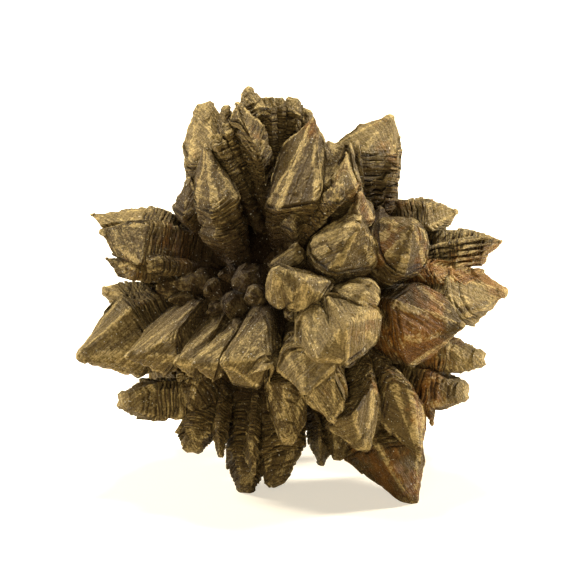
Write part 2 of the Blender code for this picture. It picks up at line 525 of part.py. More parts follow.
def marcasite_material():
    """Bronze-brown tarnish, without gloss."""
    material = bpy.data.materials.new("tarnished_marcasite")
    material.use_nodes = True
    shader = material.node_tree.nodes["Principled BSDF"]
    shader.inputs["Base Color"].default_value = (0.135, 0.090, 0.036, 1)
    shader.inputs["Roughness"].default_value = 0.55
    shader.inputs["Metallic"].default_value = 0.2
    return material


def build():
    """Makes the specimen, and leaves its resting-plane cutter beside it as a helper."""
    clear_scene()
    frame = to_part_frame()
    mesh = grown_together(frame)
    mesh.transform(frame)
    mesh.name = "crystal_cluster"
    mesh.materials.append(marcasite_material())
    cluster = bpy.data.objects.new("crystal_cluster", mesh)
    bpy.context.scene.collection.objects.link(cluster)
    feet = cluster.modifiers.new("flat_feet", "BOOLEAN")
    feet.operation = "DIFFERENCE"
    feet.object = resting_plane_cutter()
    feet.solver = "EXACT"
    return cluster


build()
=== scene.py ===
# %% [markdown]
# # A ball of marcasite spears
# This lesson builds a hand-sized mineral specimen: a ball of spear-shaped marcasite crystals that
# all grew out from one centre. The measured model of it is loaded first, as a fixed frame. It says
# how big the specimen is and where it rests, and everything made here stays inside its box.

# %% Load the measured frame
import json
import math
import random
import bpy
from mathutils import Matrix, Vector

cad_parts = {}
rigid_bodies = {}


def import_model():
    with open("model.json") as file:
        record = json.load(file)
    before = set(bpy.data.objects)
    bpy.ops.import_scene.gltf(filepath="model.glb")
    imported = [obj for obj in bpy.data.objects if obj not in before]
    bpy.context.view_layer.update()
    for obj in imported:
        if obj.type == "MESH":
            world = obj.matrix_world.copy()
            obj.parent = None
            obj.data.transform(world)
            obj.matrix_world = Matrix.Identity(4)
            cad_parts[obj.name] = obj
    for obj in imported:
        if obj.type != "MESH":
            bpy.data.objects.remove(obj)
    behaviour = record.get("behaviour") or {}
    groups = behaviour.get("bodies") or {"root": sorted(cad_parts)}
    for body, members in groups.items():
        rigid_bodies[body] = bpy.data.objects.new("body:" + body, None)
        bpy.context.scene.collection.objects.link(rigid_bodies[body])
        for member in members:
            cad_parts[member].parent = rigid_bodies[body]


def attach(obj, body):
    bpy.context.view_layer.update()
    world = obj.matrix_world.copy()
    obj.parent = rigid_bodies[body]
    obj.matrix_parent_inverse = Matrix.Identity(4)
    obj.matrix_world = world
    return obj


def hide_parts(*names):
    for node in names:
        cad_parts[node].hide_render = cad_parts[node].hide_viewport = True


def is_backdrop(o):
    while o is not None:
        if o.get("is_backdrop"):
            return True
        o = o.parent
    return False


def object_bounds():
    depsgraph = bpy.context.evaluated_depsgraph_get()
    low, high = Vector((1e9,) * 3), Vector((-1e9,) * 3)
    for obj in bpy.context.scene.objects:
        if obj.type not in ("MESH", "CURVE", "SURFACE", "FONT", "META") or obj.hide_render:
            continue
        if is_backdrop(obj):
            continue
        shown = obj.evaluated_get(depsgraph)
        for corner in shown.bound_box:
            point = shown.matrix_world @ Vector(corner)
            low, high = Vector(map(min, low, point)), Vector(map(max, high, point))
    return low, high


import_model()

from types import SimpleNamespace

import bmesh
import bpy
import numpy as np
from mathutils import Matrix, Vector, noise

cad_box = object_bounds()
print("its box in mm", [[round(1000 * v, 2) for v in corner] for corner in cad_box])

# %% [markdown]
# ## Where every crystal stands
# All lengths below are millimetres in the frame of the show side: x to the right, y up that side,
# z out of it, from the point that the crystals grow from. The side leans back a little, so one
# matrix takes that frame to the specimen's own: metres, with Z up from the resting surface. The
# measured model was made in the same frame, so the crystals need no fitting to it.

# %% From the show side's frame to the specimen's frame
MM = 0.001
LEAN_DEG = 15.0
REST_HEIGHT = 19.0                # of the growth centre over the resting surface
CENTRE_OFFSET = (-0.25, 0.675)    # of the growth centre from the frame's own origin


def show_frame():
    lean = math.radians(LEAN_DEG)
    turn = Matrix((
        (1, 0, 0, 0),
        (0, math.sin(lean), -math.cos(lean), 0),
        (0, math.cos(lean), math.sin(lean), 0),
        (0, 0, 0, 1),
    ))
    return Matrix.Scale(MM, 4) @ Matrix.Translation((*CENTRE_OFFSET, REST_HEIGHT)) @ turn


FRAME = show_frame()
print("growth centre in mm", [round(1000 * v, 2) for v in FRAME @ Vector((0, 0, 0))])

# %% [markdown]
# ## The crystals of the show side
# A marcasite spear is a blade that widens from its root and ends in a roof of flat faces. Here
# each one is given by its root, its tip, how blunt the tip is worn, and the corners of the rim
# where the roof begins. Four to seven corners are enough to give a crystal its own character, so
# they are set one by one.

# %% Crystals with corners set one by one
CRYSTALS = {
    # upper left: the spear beside the crest, and its shoulder
    "left_spear": ((-4.2, 0, 1), (-8.4, 14.5, 8.5), 0.12, (
        (-9.4, 12.3, 7), (-9.7, 8.3, 8.6), (-7.5, 7.4, 12.4), (-4.9, 9.2, 12), (-6.6, 13.2, 6),
        (-8, 12, 2))),
    "left_spear_foot": ((-4, 1.5, 3), (-7.5, 8.4, 11.6), 0.2, (
        (-9.5, 5.7, 8.6), (-7, 5.2, 11.4), (-4.9, 5.9, 10.8), (-6.4, 7.6, 5))),
    "shoulder": ((-6, 1, 0), (-10.1, 11.3, 3), 0.3, (
        (-12, 8.3, 2.5), (-10.6, 7.3, 5.8), (-9, 10, 4.5), (-10.4, 10, -4))),
    # left: the two blades, and the small ones under them
    "left_blade_top": ((-4, 3.6, 0), (-20, 7.6, 0.5), 0.1, (
        (-14, 8.6, -5), (-13.6, 8.2, 1.2), (-14.2, 6.9, 4.4), (-18.6, 6, 3), (-17, 4.5, -4))),
    "left_blade": ((-3, 2.8, 0), (-19, 5.9, 4.2), 0.2, (
        (-16.8, 6.9, 3.6), (-13.8, 6.9, 5.6), (-14.9, 2.4, 7.6), (-18, 3.5, 5), (-16, 5, -3))),
    "left_blade_foot": ((-3.4, 1.4, 1), (-14, 2.6, 7.4), 0.5, (
        (-14.4, 3.6, 6.6), (-12.4, 3.4, 7.4), (-12.4, 1.5, 7.4), (-14.2, 1.6, 6.4), (-13.6, 2.4, 0))),
    "left_wedge": ((-3.4, 0.8, 0), (-18.4, 3.2, 4), 0.15, (
        (-16.2, 3.5, 4.6), (-15.2, 2.4, 6.2), (-15.4, 0.8, 5.8), (-17.4, 1.3, 4.2), (-16, 1.5, -3.5))),
    "left_tooth": ((-4, 0, -2), (-18.9, -0.1, -3), 0.45, (
        (-17.4, 1, -2.5), (-16, -0.6, 0.6), (-17.6, -1.9, -1.4), (-17, -1, -8))),
    # lower left: the comb, five blades behind one another on one keel
    "comb_a": ((-3, 0.8, -3), (-21.3, -6.8, 4.2), 0.22, (
        (-18.9, -2.4, -0.5), (-17, -0.4, -0.4), (-15.8, -1.4, 4.8), (-13.4, -5.2, 5.4),
        (-13.6, -7.1, 5.6), (-15, -9, 2.4), (-17.5, -7.4, -4))),
    "comb_b": ((-2, 0.8, -2), (-16.4, -6.6, 9), 0.12, (
        (-14.9, -4.1, 5.2), (-9.9, 0, 5), (-8.8, -1, 9), (-11.2, -4.1, 10.4), (-10.9, -7, 10.6),
        (-12.4, -8.8, 7.4), (-13.5, -7, 0))),
    "comb_c": ((-1, 0.8, 0), (-11.5, -7.1, 12), 0.16, (
        (-9.2, -3.2, 8.2), (-6.3, -0.8, 8), (-6.8, -3, 11.4), (-9.2, -7.2, 12.9), (-9.6, -9, 10.4),
        (-9.8, -7, 4))),
    "comb_d": ((0, 0.6, 0), (-9.7, -7.2, 13.8), 0.16, (
        (-7.6, -3.9, 10.4), (-5.5, -2.4, 10.2), (-4.8, -3.4, 12.4), (-6.6, -5.8, 14), (-7, -7.6, 14.6),
        (-7.6, -9.4, 12), (-7.6, -7.5, 6))),
    "comb_e": ((0, 0, 2), (-6.8, -6.9, 15.7), 0.2, (
        (-5.6, -4.7, 12.2), (-3.3, -1, 11.2), (-2.1, -2.8, 13.2), (-1.7, -6.4, 16), (-3, -9.9, 14.6),
        (-6, -9.3, 13))),
    "keel_front": ((-1, -3, 2), (-1.9, -7.6, 17), 0.5, (
        (-4.6, -8.6, 15.6), (-2.9, -6.2, 16.2), (-0.9, -6.6, 15.4), (-2.4, -9.8, 14), (-2.6, -8, 9))),
    "low_left_leaf": ((-2, -4, 0), (-9.9, -11.9, 6.2), 0.3, (
        (-11.6, -9.4, 5), (-9.4, -8.8, 7.8), (-7.7, -11.6, 5.6), (-9, -11, 0))),
    # bottom: the short crystals over the fan, and the feet
    "low_middle": ((-0.2, -2, 4), (-0.2, -14.9, 12.6), 0.5, (
        (-2.6, -9.2, 13.2), (-1.9, -13, 12.4), (1.6, -13.4, 11.8), (1.7, -10, 13.4), (-0.4, -9, 14.8),
        (0, -13, 5))),
    "under_tooth_a": ((1, -5, 0), (3.1, -17.6, 0.5), 0.4, (
        (1.6, -15.6, 0), (3, -14.6, 4), (4.3, -16.2, 0), (3, -15.5, -5))),
    "under_tooth_b": ((1.5, -4, 0), (4.6, -17, 1.5), 0.4, (
        (3.4, -15.7, 1), (4.2, -13.6, 5.5), (7, -16, 2), (4.5, -15, -4))),
    "right_foot": ((3.5, -4, 0), (12.2, -21.4, 5.5), 0.3, (
        (5, -17, 0.5), (8.4, -15.2, 9.4), (13.2, -14.8, 6.5), (13.6, -17.5, 3), (11, -16.5, -5))),
    "low_right_fin": ((5.5, -3, 2), (12.9, -16.5, 9), 0.2, (
        (8.6, -13.4, 11), (9.8, -8.6, 13.8), (12, -9.6, 13), (13.4, -11.6, 9), (13.6, -14, 8),
        (12, -13, -1))),
    "low_right_thumb": ((6, -3, 4), (7.4, -15.6, 14.2), 0.4, (
        (3.4, -13.6, 13), (6.2, -11.8, 17.4), (8.4, -9, 15), (9, -12, 13.4), (8.4, -14.6, 12.6),
        (5.6, -14.2, 8))),
    "low_centre": ((4, -3, 5), (4.2, -13, 17.4), 0.25, (
        (1.2, -11, 15), (1.8, -9.8, 16.4), (4.2, -8.2, 19.4), (5.6, -11.4, 18), (4.4, -12.6, 14),
        (3.6, -12, 10))),
    # middle: the short crystals that point out of the show side
    "centre_low": ((1.5, -2.5, 6), (1.4, -10.2, 18.8), 0.2, (
        (-1.5, -8, 17), (-0.6, -5.8, 17.6), (0.9, -5.4, 18.4), (4.8, -7.2, 19.4), (4, -8.6, 18.6),
        (1, -9, 12))),
    "centre_left": ((2.6, -2, 6), (2.6, -6.6, 20.4), 0.1, (
        (0.6, -6.1, 17.4), (0.7, -2.7, 17.4), (2.6, -1.2, 17.6), (5.2, -3.6, 19.6), (5.4, -7.4, 19.4),
        (2.4, -7.6, 17.6))),
    "centre_right": ((4.2, -2, 6), (5.6, -3.2, 20.8), 0.1, (
        (3.2, -0.2, 18), (7.6, -1.2, 17.8), (9.1, -2, 16.4), (8.8, -5, 16.4), (5.6, -7.8, 18.6),
        (4, -5.4, 19.6))),
    "centre_striped": ((4.4, -0.8, 5), (8, 0.9, 17.6), 0.15, (
        (4.4, 0.3, 16), (7.2, 1.4, 16), (8.9, 0.6, 15.4), (9, -1.6, 15.8), (7.2, -1.8, 18.6),
        (4.9, -0.6, 18.2))),
    "centre_top_left": ((0.4, 0, 4), (-1.6, 1.8, 17.8), 0.12, (
        (-2.6, 1, 15.6), (-1.5, 2.8, 15.6), (0.4, 2, 17), (0.5, -1, 17.6), (-1, -2, 16.4),
        (-2.4, -1.2, 15.4))),
    "centre_top_right": ((1.4, 0, 4), (1.4, 0.9, 19), 0.12, (
        (0, 2.2, 16.8), (2.4, 1.6, 16.6), (4.5, 1, 15.8), (3.2, -0.8, 17.6), (1.2, -2.2, 17),
        (-0.6, -1.8, 16.4))),
    "upper_block": ((3, -0.5, 4), (6.7, 6.3, 16.8), 0.12, (
        (1.6, 4.9, 14.5), (3.8, 6.6, 14.7), (6.7, 7.9, 14.6), (8.7, 4.6, 13.6), (8.6, 2.2, 13.4),
        (4.2, 1.5, 16.6), (2, 3.2, 15.4))),
    "upper_block_foot": ((1, 0, 4), (0.6, 4.6, 14.4), 0.3, (
        (-2.6, 2.5, 12.6), (0.2, 4.4, 13), (1.6, 4.2, 13.4), (1.4, 2.4, 14), (-0.6, 2, 13.8))),
    "right_block": ((5, -0.5, 2), (12.1, 6.3, 12.8), 0.12, (
        (8.4, 5.2, 10.8), (8.6, 7.2, 9), (12.6, 7.4, 9), (13.9, 5.2, 9.6), (13.6, 2.2, 10),
        (11, 1.2, 13), (9, 3, 13))),
    # right
    "right_point": ((5, 0, 0), (21.8, -0.2, 2), 0.22, (
        (19.4, 2.2, 0.5), (15.6, 1.7, 6.4), (15.8, -1.2, 8.6), (17.2, -3, 7.6), (18.6, -3.7, 3.4),
        (18, -1.5, -8))),
    "right_slab": ((4, -2, 2), (17.3, -3.5, 9.8), 0.12, (
        (15.8, -0.6, 8.2), (12.6, 0.8, 9.6), (9.8, -1, 12.6), (10.6, -5.5, 13), (11.9, -7.9, 10),
        (14.8, -6.2, 7.6), (14, -4, -1))),
    # top
    "top_spear": ((0.6, 1.5, 3), (2.3, 17, 11.4), 0.08, (
        (-0.7, 14.7, 9.6), (-2.5, 8.2, 11), (-1.5, 7.9, 13.4), (2.8, 8.6, 15.2), (3.3, 10, 14.6),
        (3.5, 15, 11), (2, 13, 0))),
    "top_side": ((3, 1.5, 2), (4.4, 14.5, 9.4), 0.7, (
        (2.8, 13.6, 11.4), (3.4, 10, 14), (5.5, 9.8, 13), (5.9, 12.8, 9), (4.4, 13.4, 0))),
    "top_spear_foot": ((1, 1, 3), (0.2, 7.4, 14), 0.3, (
        (-1.4, 6.6, 12.6), (0.4, 5.6, 14.4), (1.6, 7.2, 13.6), (0, 7.5, 8))),
    "top_back_spear": ((1, 4, 0), (1.8, 18, 2), 0.3, (
        (0.4, 16.2, 1), (1.8, 14.8, 6), (3.4, 15.6, 2), (1.8, 16, -6))),
    "small_spear": ((3.8, 2.5, 3), (5.5, 13.6, 13), 0.1, (
        (3.9, 11.2, 13.2), (4.8, 9.8, 15.6), (6.9, 10.2, 14), (6.3, 12.8, 9))),
    "low_spear_right": ((4, 1.5, 3), (6.8, 9.7, 13), 0.3, (
        (5.4, 7.4, 14), (6.4, 6.4, 14.6), (8.4, 7, 12.6), (8.2, 8.8, 10), (6.4, 9, 8))),
    "right_fin_foot": ((4.5, 2, 0), (9, 8.4, 3.4), 0.3, (
        (7.6, 7.4, 4.6), (9, 6.2, 6.4), (10.6, 6.6, 3.6), (9.5, 7.8, -2))),
}
print(len(CRYSTALS), "tapered crystals")

# %% [markdown]
# ## Plates, ribs and small crystals
# Some crystals hardly taper, and some are thin plates standing side by side, so they get a table
# of their own with a wider root. A sheaf is one thin blade repeated with a small shift. Deep in
# the hollows sit small blunt crystals, for which a tip and a width are enough.

# %% Plates with almost parallel sides
PLATES = {
    "crest_peak": ((-1.6, 6, 0), (-4.2, 20.3, 3.5), 0.3, (
        (-6.2, 17.2, 3.2), (-5, 16.6, 6.2), (-2.3, 17.4, 5.6), (-1.8, 18.4, 3.4), (-4, 18.6, -3))),
    "crest_front": ((-2, 5.5, 3), (-5.2, 18.6, 8), 0.3, (
        (-6.4, 16.8, 7.4), (-4.9, 16.4, 9.8), (-3.3, 14.2, 11), (-2.4, 16.4, 7), (-4.4, 17.6, 1))),
    "crest_wall": ((-0.6, 7, -2), (-1, 18.9, -0.5), 0.9, (
        (-4.4, 18.4, -1), (-3, 17.6, 4), (0.6, 17.2, 3.6), (1.9, 17.4, 0), (-1, 18, -5))),
    "crest_plate_a": ((-1.6, 7, 0), (-2.2, 19.1, 3.6), 0.8, (
        (-3.2, 18.2, 5.4), (-1.4, 18.2, 6.2), (-1.2, 18.3, 0), (-3.2, 18.2, -3))),
    "crest_plate_b": ((-1, 7, 0), (-1.1, 19.1, 3), 0.8, (
        (-1.7, 18.3, 4.8), (-0.4, 18.2, 5.2), (-0.3, 18.3, 0), (-1.7, 18.2, -3))),
    "crest_plate_c": ((-0.6, 7, 0), (0.3, 19.1, 2.6), 0.75, (
        (-0.7, 18.2, 4), (1.1, 17.4, 5), (1.5, 17.6, -1), (-0.6, 18, -3))),
    "crest_plate_d": ((0, 7, 0), (1.7, 18.1, 1), 0.6, (
        (0.8, 17.4, 2.6), (2.5, 16.4, 3), (2.8, 16.6, -3), (0.8, 17.2, -4))),
    "left_fin": ((-7, 3.5, -1), (-8.7, 18.7, -0.5), 0.5, (
        (-10.9, 14.9, -1), (-10.3, 12.6, 3), (-7.2, 13.6, 4.8), (-6.2, 17, 1.2), (-8.6, 15.4, -8))),
    "right_fin": ((8, 3, -1), (10.2, 17.6, -1), 0.2, (
        (4.6, 14.8, 0), (6.8, 13.6, 4.4), (10.6, 13.4, 3), (11.2, 15.6, -1.5), (9.6, 15.4, -9),
        (7.4, 17, -3))),
    "fin_splinter": ((-3.8, 7, 0), (-6.4, 18.4, 1.5), 0.5, (
        (-7.6, 16.8, 1), (-7, 15, 4.8), (-5.2, 16.9, 2.4), (-6.3, 17, -5))),
    "page_a": ((-2.8, 5.6, 5), (-7.4, 15.3, 8.6), 0.7, (
        (-8, 14.4, 8.8), (-7.2, 14.2, 10.2), (-6.3, 14.9, 9.2), (-6.4, 14.6, 2), (-7.8, 14.2, 2))),
    "page_b": ((-2.4, 5.8, 4), (-6.4, 16.5, 7.6), 0.7, (
        (-6.9, 15.6, 7.8), (-6.2, 15.5, 9.2), (-5.4, 15.9, 8.2), (-5.5, 15.4, 2), (-6.8, 15.2, 2))),
    "low_spear": ((-2.2, 1.8, 8), (4.9, 10.3, 15.4), 0.75, (
        (3.4, 9.7, 14.4), (3.8, 8.5, 16), (5.3, 8.5, 16.2), (5.5, 9.8, 14.4), (4.4, 9.4, 11))),
    "low_left_thumb": ((-3.5, -10.2, 0), (-17.1, -11, 2.5), 0.5, (
        (-15.2, -9, 1), (-13.2, -9.2, 5.8), (-13.4, -12.9, 5), (-15.6, -12.9, 1), (-14.4, -11.5, -4))),
    "fan_left": ((-6.6, -5, 0), (-9.7, -16.1, 4.5), 0.6, (
        (-11.4, -14.8, 3), (-10.4, -13.6, 7), (-7.7, -14, 6), (-7.4, -15.2, 2), (-9.4, -14.6, -2))),
    "fan_splinter": ((-6, -5, 1), (-6.9, -16.6, 6.4), 0.5, (
        (-7.9, -14.6, 5.4), (-7.2, -13.6, 8.4), (-6, -14.8, 6.6), (-6.9, -14.6, 0))),
    "fan_foot": ((-4.3, -4, 0), (-4.5, -20.4, 1.5), 0.5, (
        (-6.4, -17.9, 1.8), (-5.6, -16.7, 6.2), (-3.1, -17, 6.9), (-2, -18.3, 2.2),
        (-4.4, -17.8, -4.1))),
    "fan_rib": ((-2.6, -4.5, 1), (-3.6, -18.4, 6.6), 0.5, (
        (-4.8, -16.4, 6.6), (-4, -14.6, 9.4), (-2.9, -16, 8), (-3.6, -16, 0))),
    "fan_right": ((-1.4, -4, 1), (-1.4, -19.5, 4.6), 0.6, (
        (-3.4, -18, 4.6), (-2.5, -16.4, 8.8), (0.7, -15.6, 8), (1.8, -15.6, 4.6), (-0.8, -17, -3))),
    "small_page_a": ((4.2, 3, 2), (6, 14.2, 11), 0.5, (
        (5.5, 13.4, 11.4), (6.6, 11, 13.6), (7.2, 10.4, 12), (6.6, 13.5, 5))),
    "small_page_b": ((4.4, 3, 2), (6.7, 14.6, 8.6), 0.5, (
        (5.8, 13.8, 9), (7, 12.6, 10.4), (7.4, 10.4, 10.6), (7.2, 13.8, 3))),
    "right_top_fin": ((3.2, 7, -2), (16.9, 7.9, -1), 0.2, (
        (14.6, 9.2, -3), (13.4, 9.1, 1.8), (14, 5.8, 3.8), (15.8, 5.9, 0), (14.6, 6.6, -8))),
    "ribbed_body": ((5, 5.2, 0), (21.3, 4.9, 0), 0.15, (
        (20, 5.6, -2.5), (18.8, 5.8, 1.8), (18.2, 2.5, 3.6), (19.4, 2.3, 0.6), (19, 2.8, -4.5))),
    "right_rusty": ((5, 2, 0), (19.4, 1.9, 3), 0.3, (
        (17, 2.6, 4), (14.2, 3, 5.6), (14.4, 1, 7.6), (16.6, -0.4, 6.4), (16, 1, -4))),
    "right_low_fin": ((4.5, -4.4, 0), (19.4, -6.9, 1.5), 0.6, (
        (17.4, -4.9, 1.5), (15.6, -5.2, 5.6), (15.4, -8.4, 5), (17.4, -8.4, 1.5), (17, -7, -5))),
    "right_low_thumb": ((4.5, -7.2, 0), (17.7, -10.2, 2), 0.6, (
        (16.2, -8.2, 1.5), (14.2, -8.4, 6.2), (13.8, -11.9, 5.8), (15.8, -12, 1), (15.5, -11, -5))),
    "right_low_splinter": ((5, -4.5, 0), (14.2, -13.6, 1.5), 0.4, (
        (13, -12, 2), (13.6, -10.6, 4.6), (14.8, -11.9, 1.5), (13.9, -12, -2.5))),
}
print(len(PLATES), "plates")

# %% Sheaves of thin ribs, and small crystals in the hollows
# as above, then the shift from one blade to the next and how many there are
SHEAVES = {
    "body_rib": ((6, 2.4, 1), (20.2, 5.2, 2.2), 0.3, (
        (19, 5.4, 2.2), (17, 5.1, 4.6), (17, 4.6, 4.9), (19, 4.9, 2.6), (17, 4.7, -2)),
        (-0.15, -0.6, 0.05), 5),
    "keel_pleat": ((-3, -5, 2), (-11, -9, 7), 0.6, (
        (-11.4, -8.2, 6.4), (-10.6, -8, 7.2), (-10.3, -8.8, 6.8), (-11, -9, 4)), (0.8, -0.1, 0.6), 3),
}
# tip and half-width
LUMPS = {
    "pit_gem": ((-4.5, 1.4, 11), 1.9),
    "pit_dark_a": ((-7, 1.6, 9), 1.2),
    "pit_dark_b": ((-8.4, -0.1, 9.2), 1.4),
    "pit_dark_c": ((-9.8, 1.1, 7.6), 1.3),
    "pit_dark_d": ((-11.6, 0.7, 6.8), 1.2),
    "pit_dark_e": ((-13.3, 0.3, 5.8), 1.2),
    "pit_dark_f": ((-12, -1, 7), 1.2),
    "pit_grey_a": ((-3.9, -0.6, 12.6), 1.3),
    "pit_grey_b": ((-6.2, -1.6, 11.4), 1.5),
    "pit_grey_c": ((-8.2, -2.2, 9.8), 1.2),
    "knob": ((0.2, -2.8, 15.2), 1.0),
}
print(len(SHEAVES), "sheaves and", len(LUMPS), "small crystals")

# %% [markdown]
# ## What sets single crystals apart
# Neighbours on the real specimen differ in tone, and a few on the right are rusty. Those at the
# rim are painted pale, partly as rubbed wear and partly as painted light where light falls on
# them, and those near the hollows are painted dark as painted shade. Fine growth layers also show
# on every roof, and each crystal's run their own way. Both are kept by name, so that a crystal can
# be corrected without touching its shape.

# %% How pale each crystal is painted, from 0 to 1, its own tone with painted light and shade, and how rusty, from 0 to 9
TONE_LIGHT_AND_RUST_TABLE = {
    (0.0, 5): "right_slab",
    (0.1, 0): "low_middle",
    (0.1, 1): "left_blade_foot shoulder top_spear top_side top_spear_foot low_spear fan_foot "
              "fan_right",
    (0.1, 2): "left_blade",
    (0.1, 3): "low_left_leaf",
    (0.15, 1): "left_spear right_foot",
    (0.15, 3): "right_block",
    (0.2, 0): "fan_left fan_splinter",
    (0.2, 1): "left_spear_foot low_spear_right low_right_fin fan_rib",
    (0.2, 2): "left_wedge",
    (0.25, 1): "upper_block",
    (0.3, 2): "small_spear",
    (0.3, 3): "crest_wall crest_plate_b crest_plate_c",
    (0.35, 1): "low_right_thumb",
    (0.35, 2): "crest_front",
    (0.4, 0): "comb_c",
    (0.4, 1): "upper_block_foot",
    (0.45, 0): "comb_d low_centre",
    (0.45, 1): "comb_b comb_e",
    (0.5, 0): "centre_top_left",
    (0.5, 1): "comb_a",
    (0.5, 2): "crest_plate_a crest_plate_d",
    (0.6, 0): "keel_front centre_low centre_top_right",
    (0.6, 1): "crest_peak right_low_thumb low_left_thumb",
    (0.7, 0): "left_fin centre_left centre_right centre_striped",
    (0.7, 1): "right_fin",
    (0.7, 9): "right_rusty",
    (0.8, 1): "right_point right_low_fin",
    (0.9, 0): "left_blade_top left_tooth",
    (0.9, 3): "right_top_fin",
    (1.0, 2): "ribbed_body body_rib_0 body_rib_1 body_rib_2 body_rib_3",
    (1.0, 3): "body_rib_4",
}
# the pale part paints a crystal lighter where light falls on it and darker where it lies in shade, on
# top of its own tone
TONE_LIGHT_AND_RUST = {name: finish for finish, names in TONE_LIGHT_AND_RUST_TABLE.items() for name in names.split()}
UNLISTED_PALE = (0.2, 0.7)    # the others are anything between these, without rust
print(len(TONE_LIGHT_AND_RUST), "crystals have a finish of their own")

# %% Which way the fine layers are stacked, where the shape of the rim doesn't tell
LAYERS_TOWARDS = {
    "upper_block": (-0.45, 0.89, 0.1), "right_block": (0.3, 0.9, 0.2), "top_spear": (-0.8, 0.4, 0.4),
    "left_spear": (-0.7, -0.6, 0.3), "left_spear_foot": (-0.3, 0.95, 0), "right_slab": (0.5, 0.8, 0),
    **{f"comb_{letter}": (-0.64, 0.77, 0) for letter in "abcd"}, "comb_e": (-0.8, 0.6, 0),
    "centre_striped": (0.5, 0.86, 0), "right_point": (0.5, 0.86, 0.2), "left_blade": (-0.9, -0.4, 0),
}

# %% [markdown]
# ## The hidden side
# The crystals behind need no single corners. A tip, a width, a thickness and a roll make a blade
# there, and some blades stand in sheaves too. All share one uneven rim.

# %% Blades of the hidden side
# tip, width, thickness, roll in degrees, how blunt, and how many side by side
BACK_BLADES = {
    "back_foot": ((-2.5, -15.9, -16.8), 7.0, 5.5, 20, 0.25, 1),
    "back_low_left": ((-13.5, -9.5, -12), 10.0, 4.5, 70, 0.15, 2),
    "back_left": ((-16.5, -1.5, -9.5), 9.5, 5.5, 10, 0.2, 1),
    "back_left_high": ((-14, 6.5, -12), 9.0, 6, -35, 0.15, 1),
    "back_high_left": ((-8, 13.5, -12), 10.0, 2.2, 60, 0.4, 4),
    "back_high": ((1, 15.5, -11.5), 8.5, 6, 15, 0.15, 1),
    "back_high_right": ((8.5, 11.5, -13.5), 10.0, 5.0, -50, 0.2, 1),
    "back_right_high": ((13.5, 6.5, -13), 9.0, 5.5, 30, 0.35, 1),
    "back_right": ((17, -0.5, -11.5), 10.5, 5.0, 85, 0.15, 1),
    "back_right_low": ((14.5, -8, -12), 9.0, 2.5, -20, 0.4, 3),
    "back_low_right": ((8, -14.5, -11.5), 9.5, 5.5, 50, 0.2, 1),
    "back_low": ((-8.5, -12.5, -12.5), 8.5, 5.5, -60, 0.35, 1),
    "back_middle": ((0.5, 1, -20.5), 9.5, 7.0, 25, 0.15, 1),
    "back_inner_high_left": ((-7, 6.5, -18.5), 10.0, 5.5, 75, 0.2, 1),
    "back_inner_high_right": ((6.5, 7, -18), 9.0, 3.0, -15, 0.3, 2),
    "back_inner_low_right": ((7, -6, -18.5), 10.5, 6.0, 40, 0.12, 1),
    "back_inner_low_left": ((-6.5, -6, -18.5), 10.5, 5.5, -40, 0.15, 1),
    "back_inner_left": ((-12.5, 0.5, -16), 8.0, 2.8, 5, 0.35, 3),
    "back_inner_right": ((12, 0.5, -16.5), 8.5, 6.5, -70, 0.2, 1),
    "back_inner_high": ((-0.5, 10.5, -17), 8.5, 5.5, 45, 0.25, 1),
    "back_inner_low": ((1.5, -9.5, -19), 7.5, 6, -10, 0.3, 1),
}
BACK_ROOT_AT = 0.15        # back blades start this far out from the growth centre
BACK_RIM_AT = 0.78         # and their roof begins here
BACK_PITCH = 0.85          # between blades that lie side by side, as a part of their thickness
BACK_SHORTER = 0.02        # each step away from the middle one makes a blade this much shorter
# rim corners of a back blade: along its width, along its thickness and up or down its axis
BACK_RIM = (
    (0.50, 0.05, -0.05),
    (0.12, 0.50, 0.00),
    (-0.42, 0.30, 0.03),
    (-0.46, -0.22, -0.04),
    (0.10, -0.50, 0.02),
)
print(sum(blade[-1] for blade in BACK_BLADES.values()), "blades on the hidden side")

# %% [markdown]
# ## One crystal as a stack of growth layers
# A marcasite crystal shows how it grew: its flanks are a washboard of thin layers, each with a
# ragged edge, and only its roof is smooth. A bump texture can't give that outline against the
# light, so the layers are real steps in the mesh. The outline of the rim is cut into short
# lengths, with a narrow worn flat at each corner, and copied down the crystal layer by layer.

# %% The outline of a rim, with every corner rubbed round
WORN = (0.3, 0.75)    # mm rubbed off at a corner
WORN_SHARE = 0.28     # but never more than this part of the shorter side beside it


def sorted_round(root, middle, rim):
    axis = (middle - root).normalized()
    side = axis.orthogonal().normalized()
    other = axis.cross(side)
    return sorted(rim, key=lambda c: math.atan2((c - middle).dot(other), (c - middle).dot(side)))


def outline_of(rim, length, dice):
    """Points along the rim about one length apart, how far along it each lies in mm, and whether
    it belongs to the bevel of a corner."""
    points, places, corners, travelled = [], [], [], 0.0
    sides = [(rim[(i + 1) % len(rim)] - corner).length for i, corner in enumerate(rim)]
    worn = [min(WORN_SHARE * min(sides[i - 1], sides[i]), dice.uniform(*WORN))
            for i in range(len(rim))]
    for i, corner in enumerate(rim):
        following = rim[(i + 1) % len(rim)]
        flat = sides[i] - worn[i] - worn[(i + 1) % len(rim)]
        steps = max(1, round(flat / length))
        for k in range(steps + 1):
            t = (worn[i] + flat * k / steps) / sides[i]
            points.append(corner.lerp(following, t))
            places.append(travelled + t * sides[i])
            corners.append(1.0 if k in (0, steps) else 0.0)
        travelled += sides[i]
    return np.array([p[:] for p in points]), np.array(places), np.array(corners)


# %% [markdown]
# Everything rough about a crystal comes from smooth noise, read along the rim and up the crystal.
# Each kind of roughness has its own pace in both directions, and a number of its own that keeps it
# apart from the others. Blender's noise gives the same numbers in every run.

# %% Ragged numbers that are the same in every run
NOISE_GAIN = 1.6    # the noise itself seldom gets past 0.6


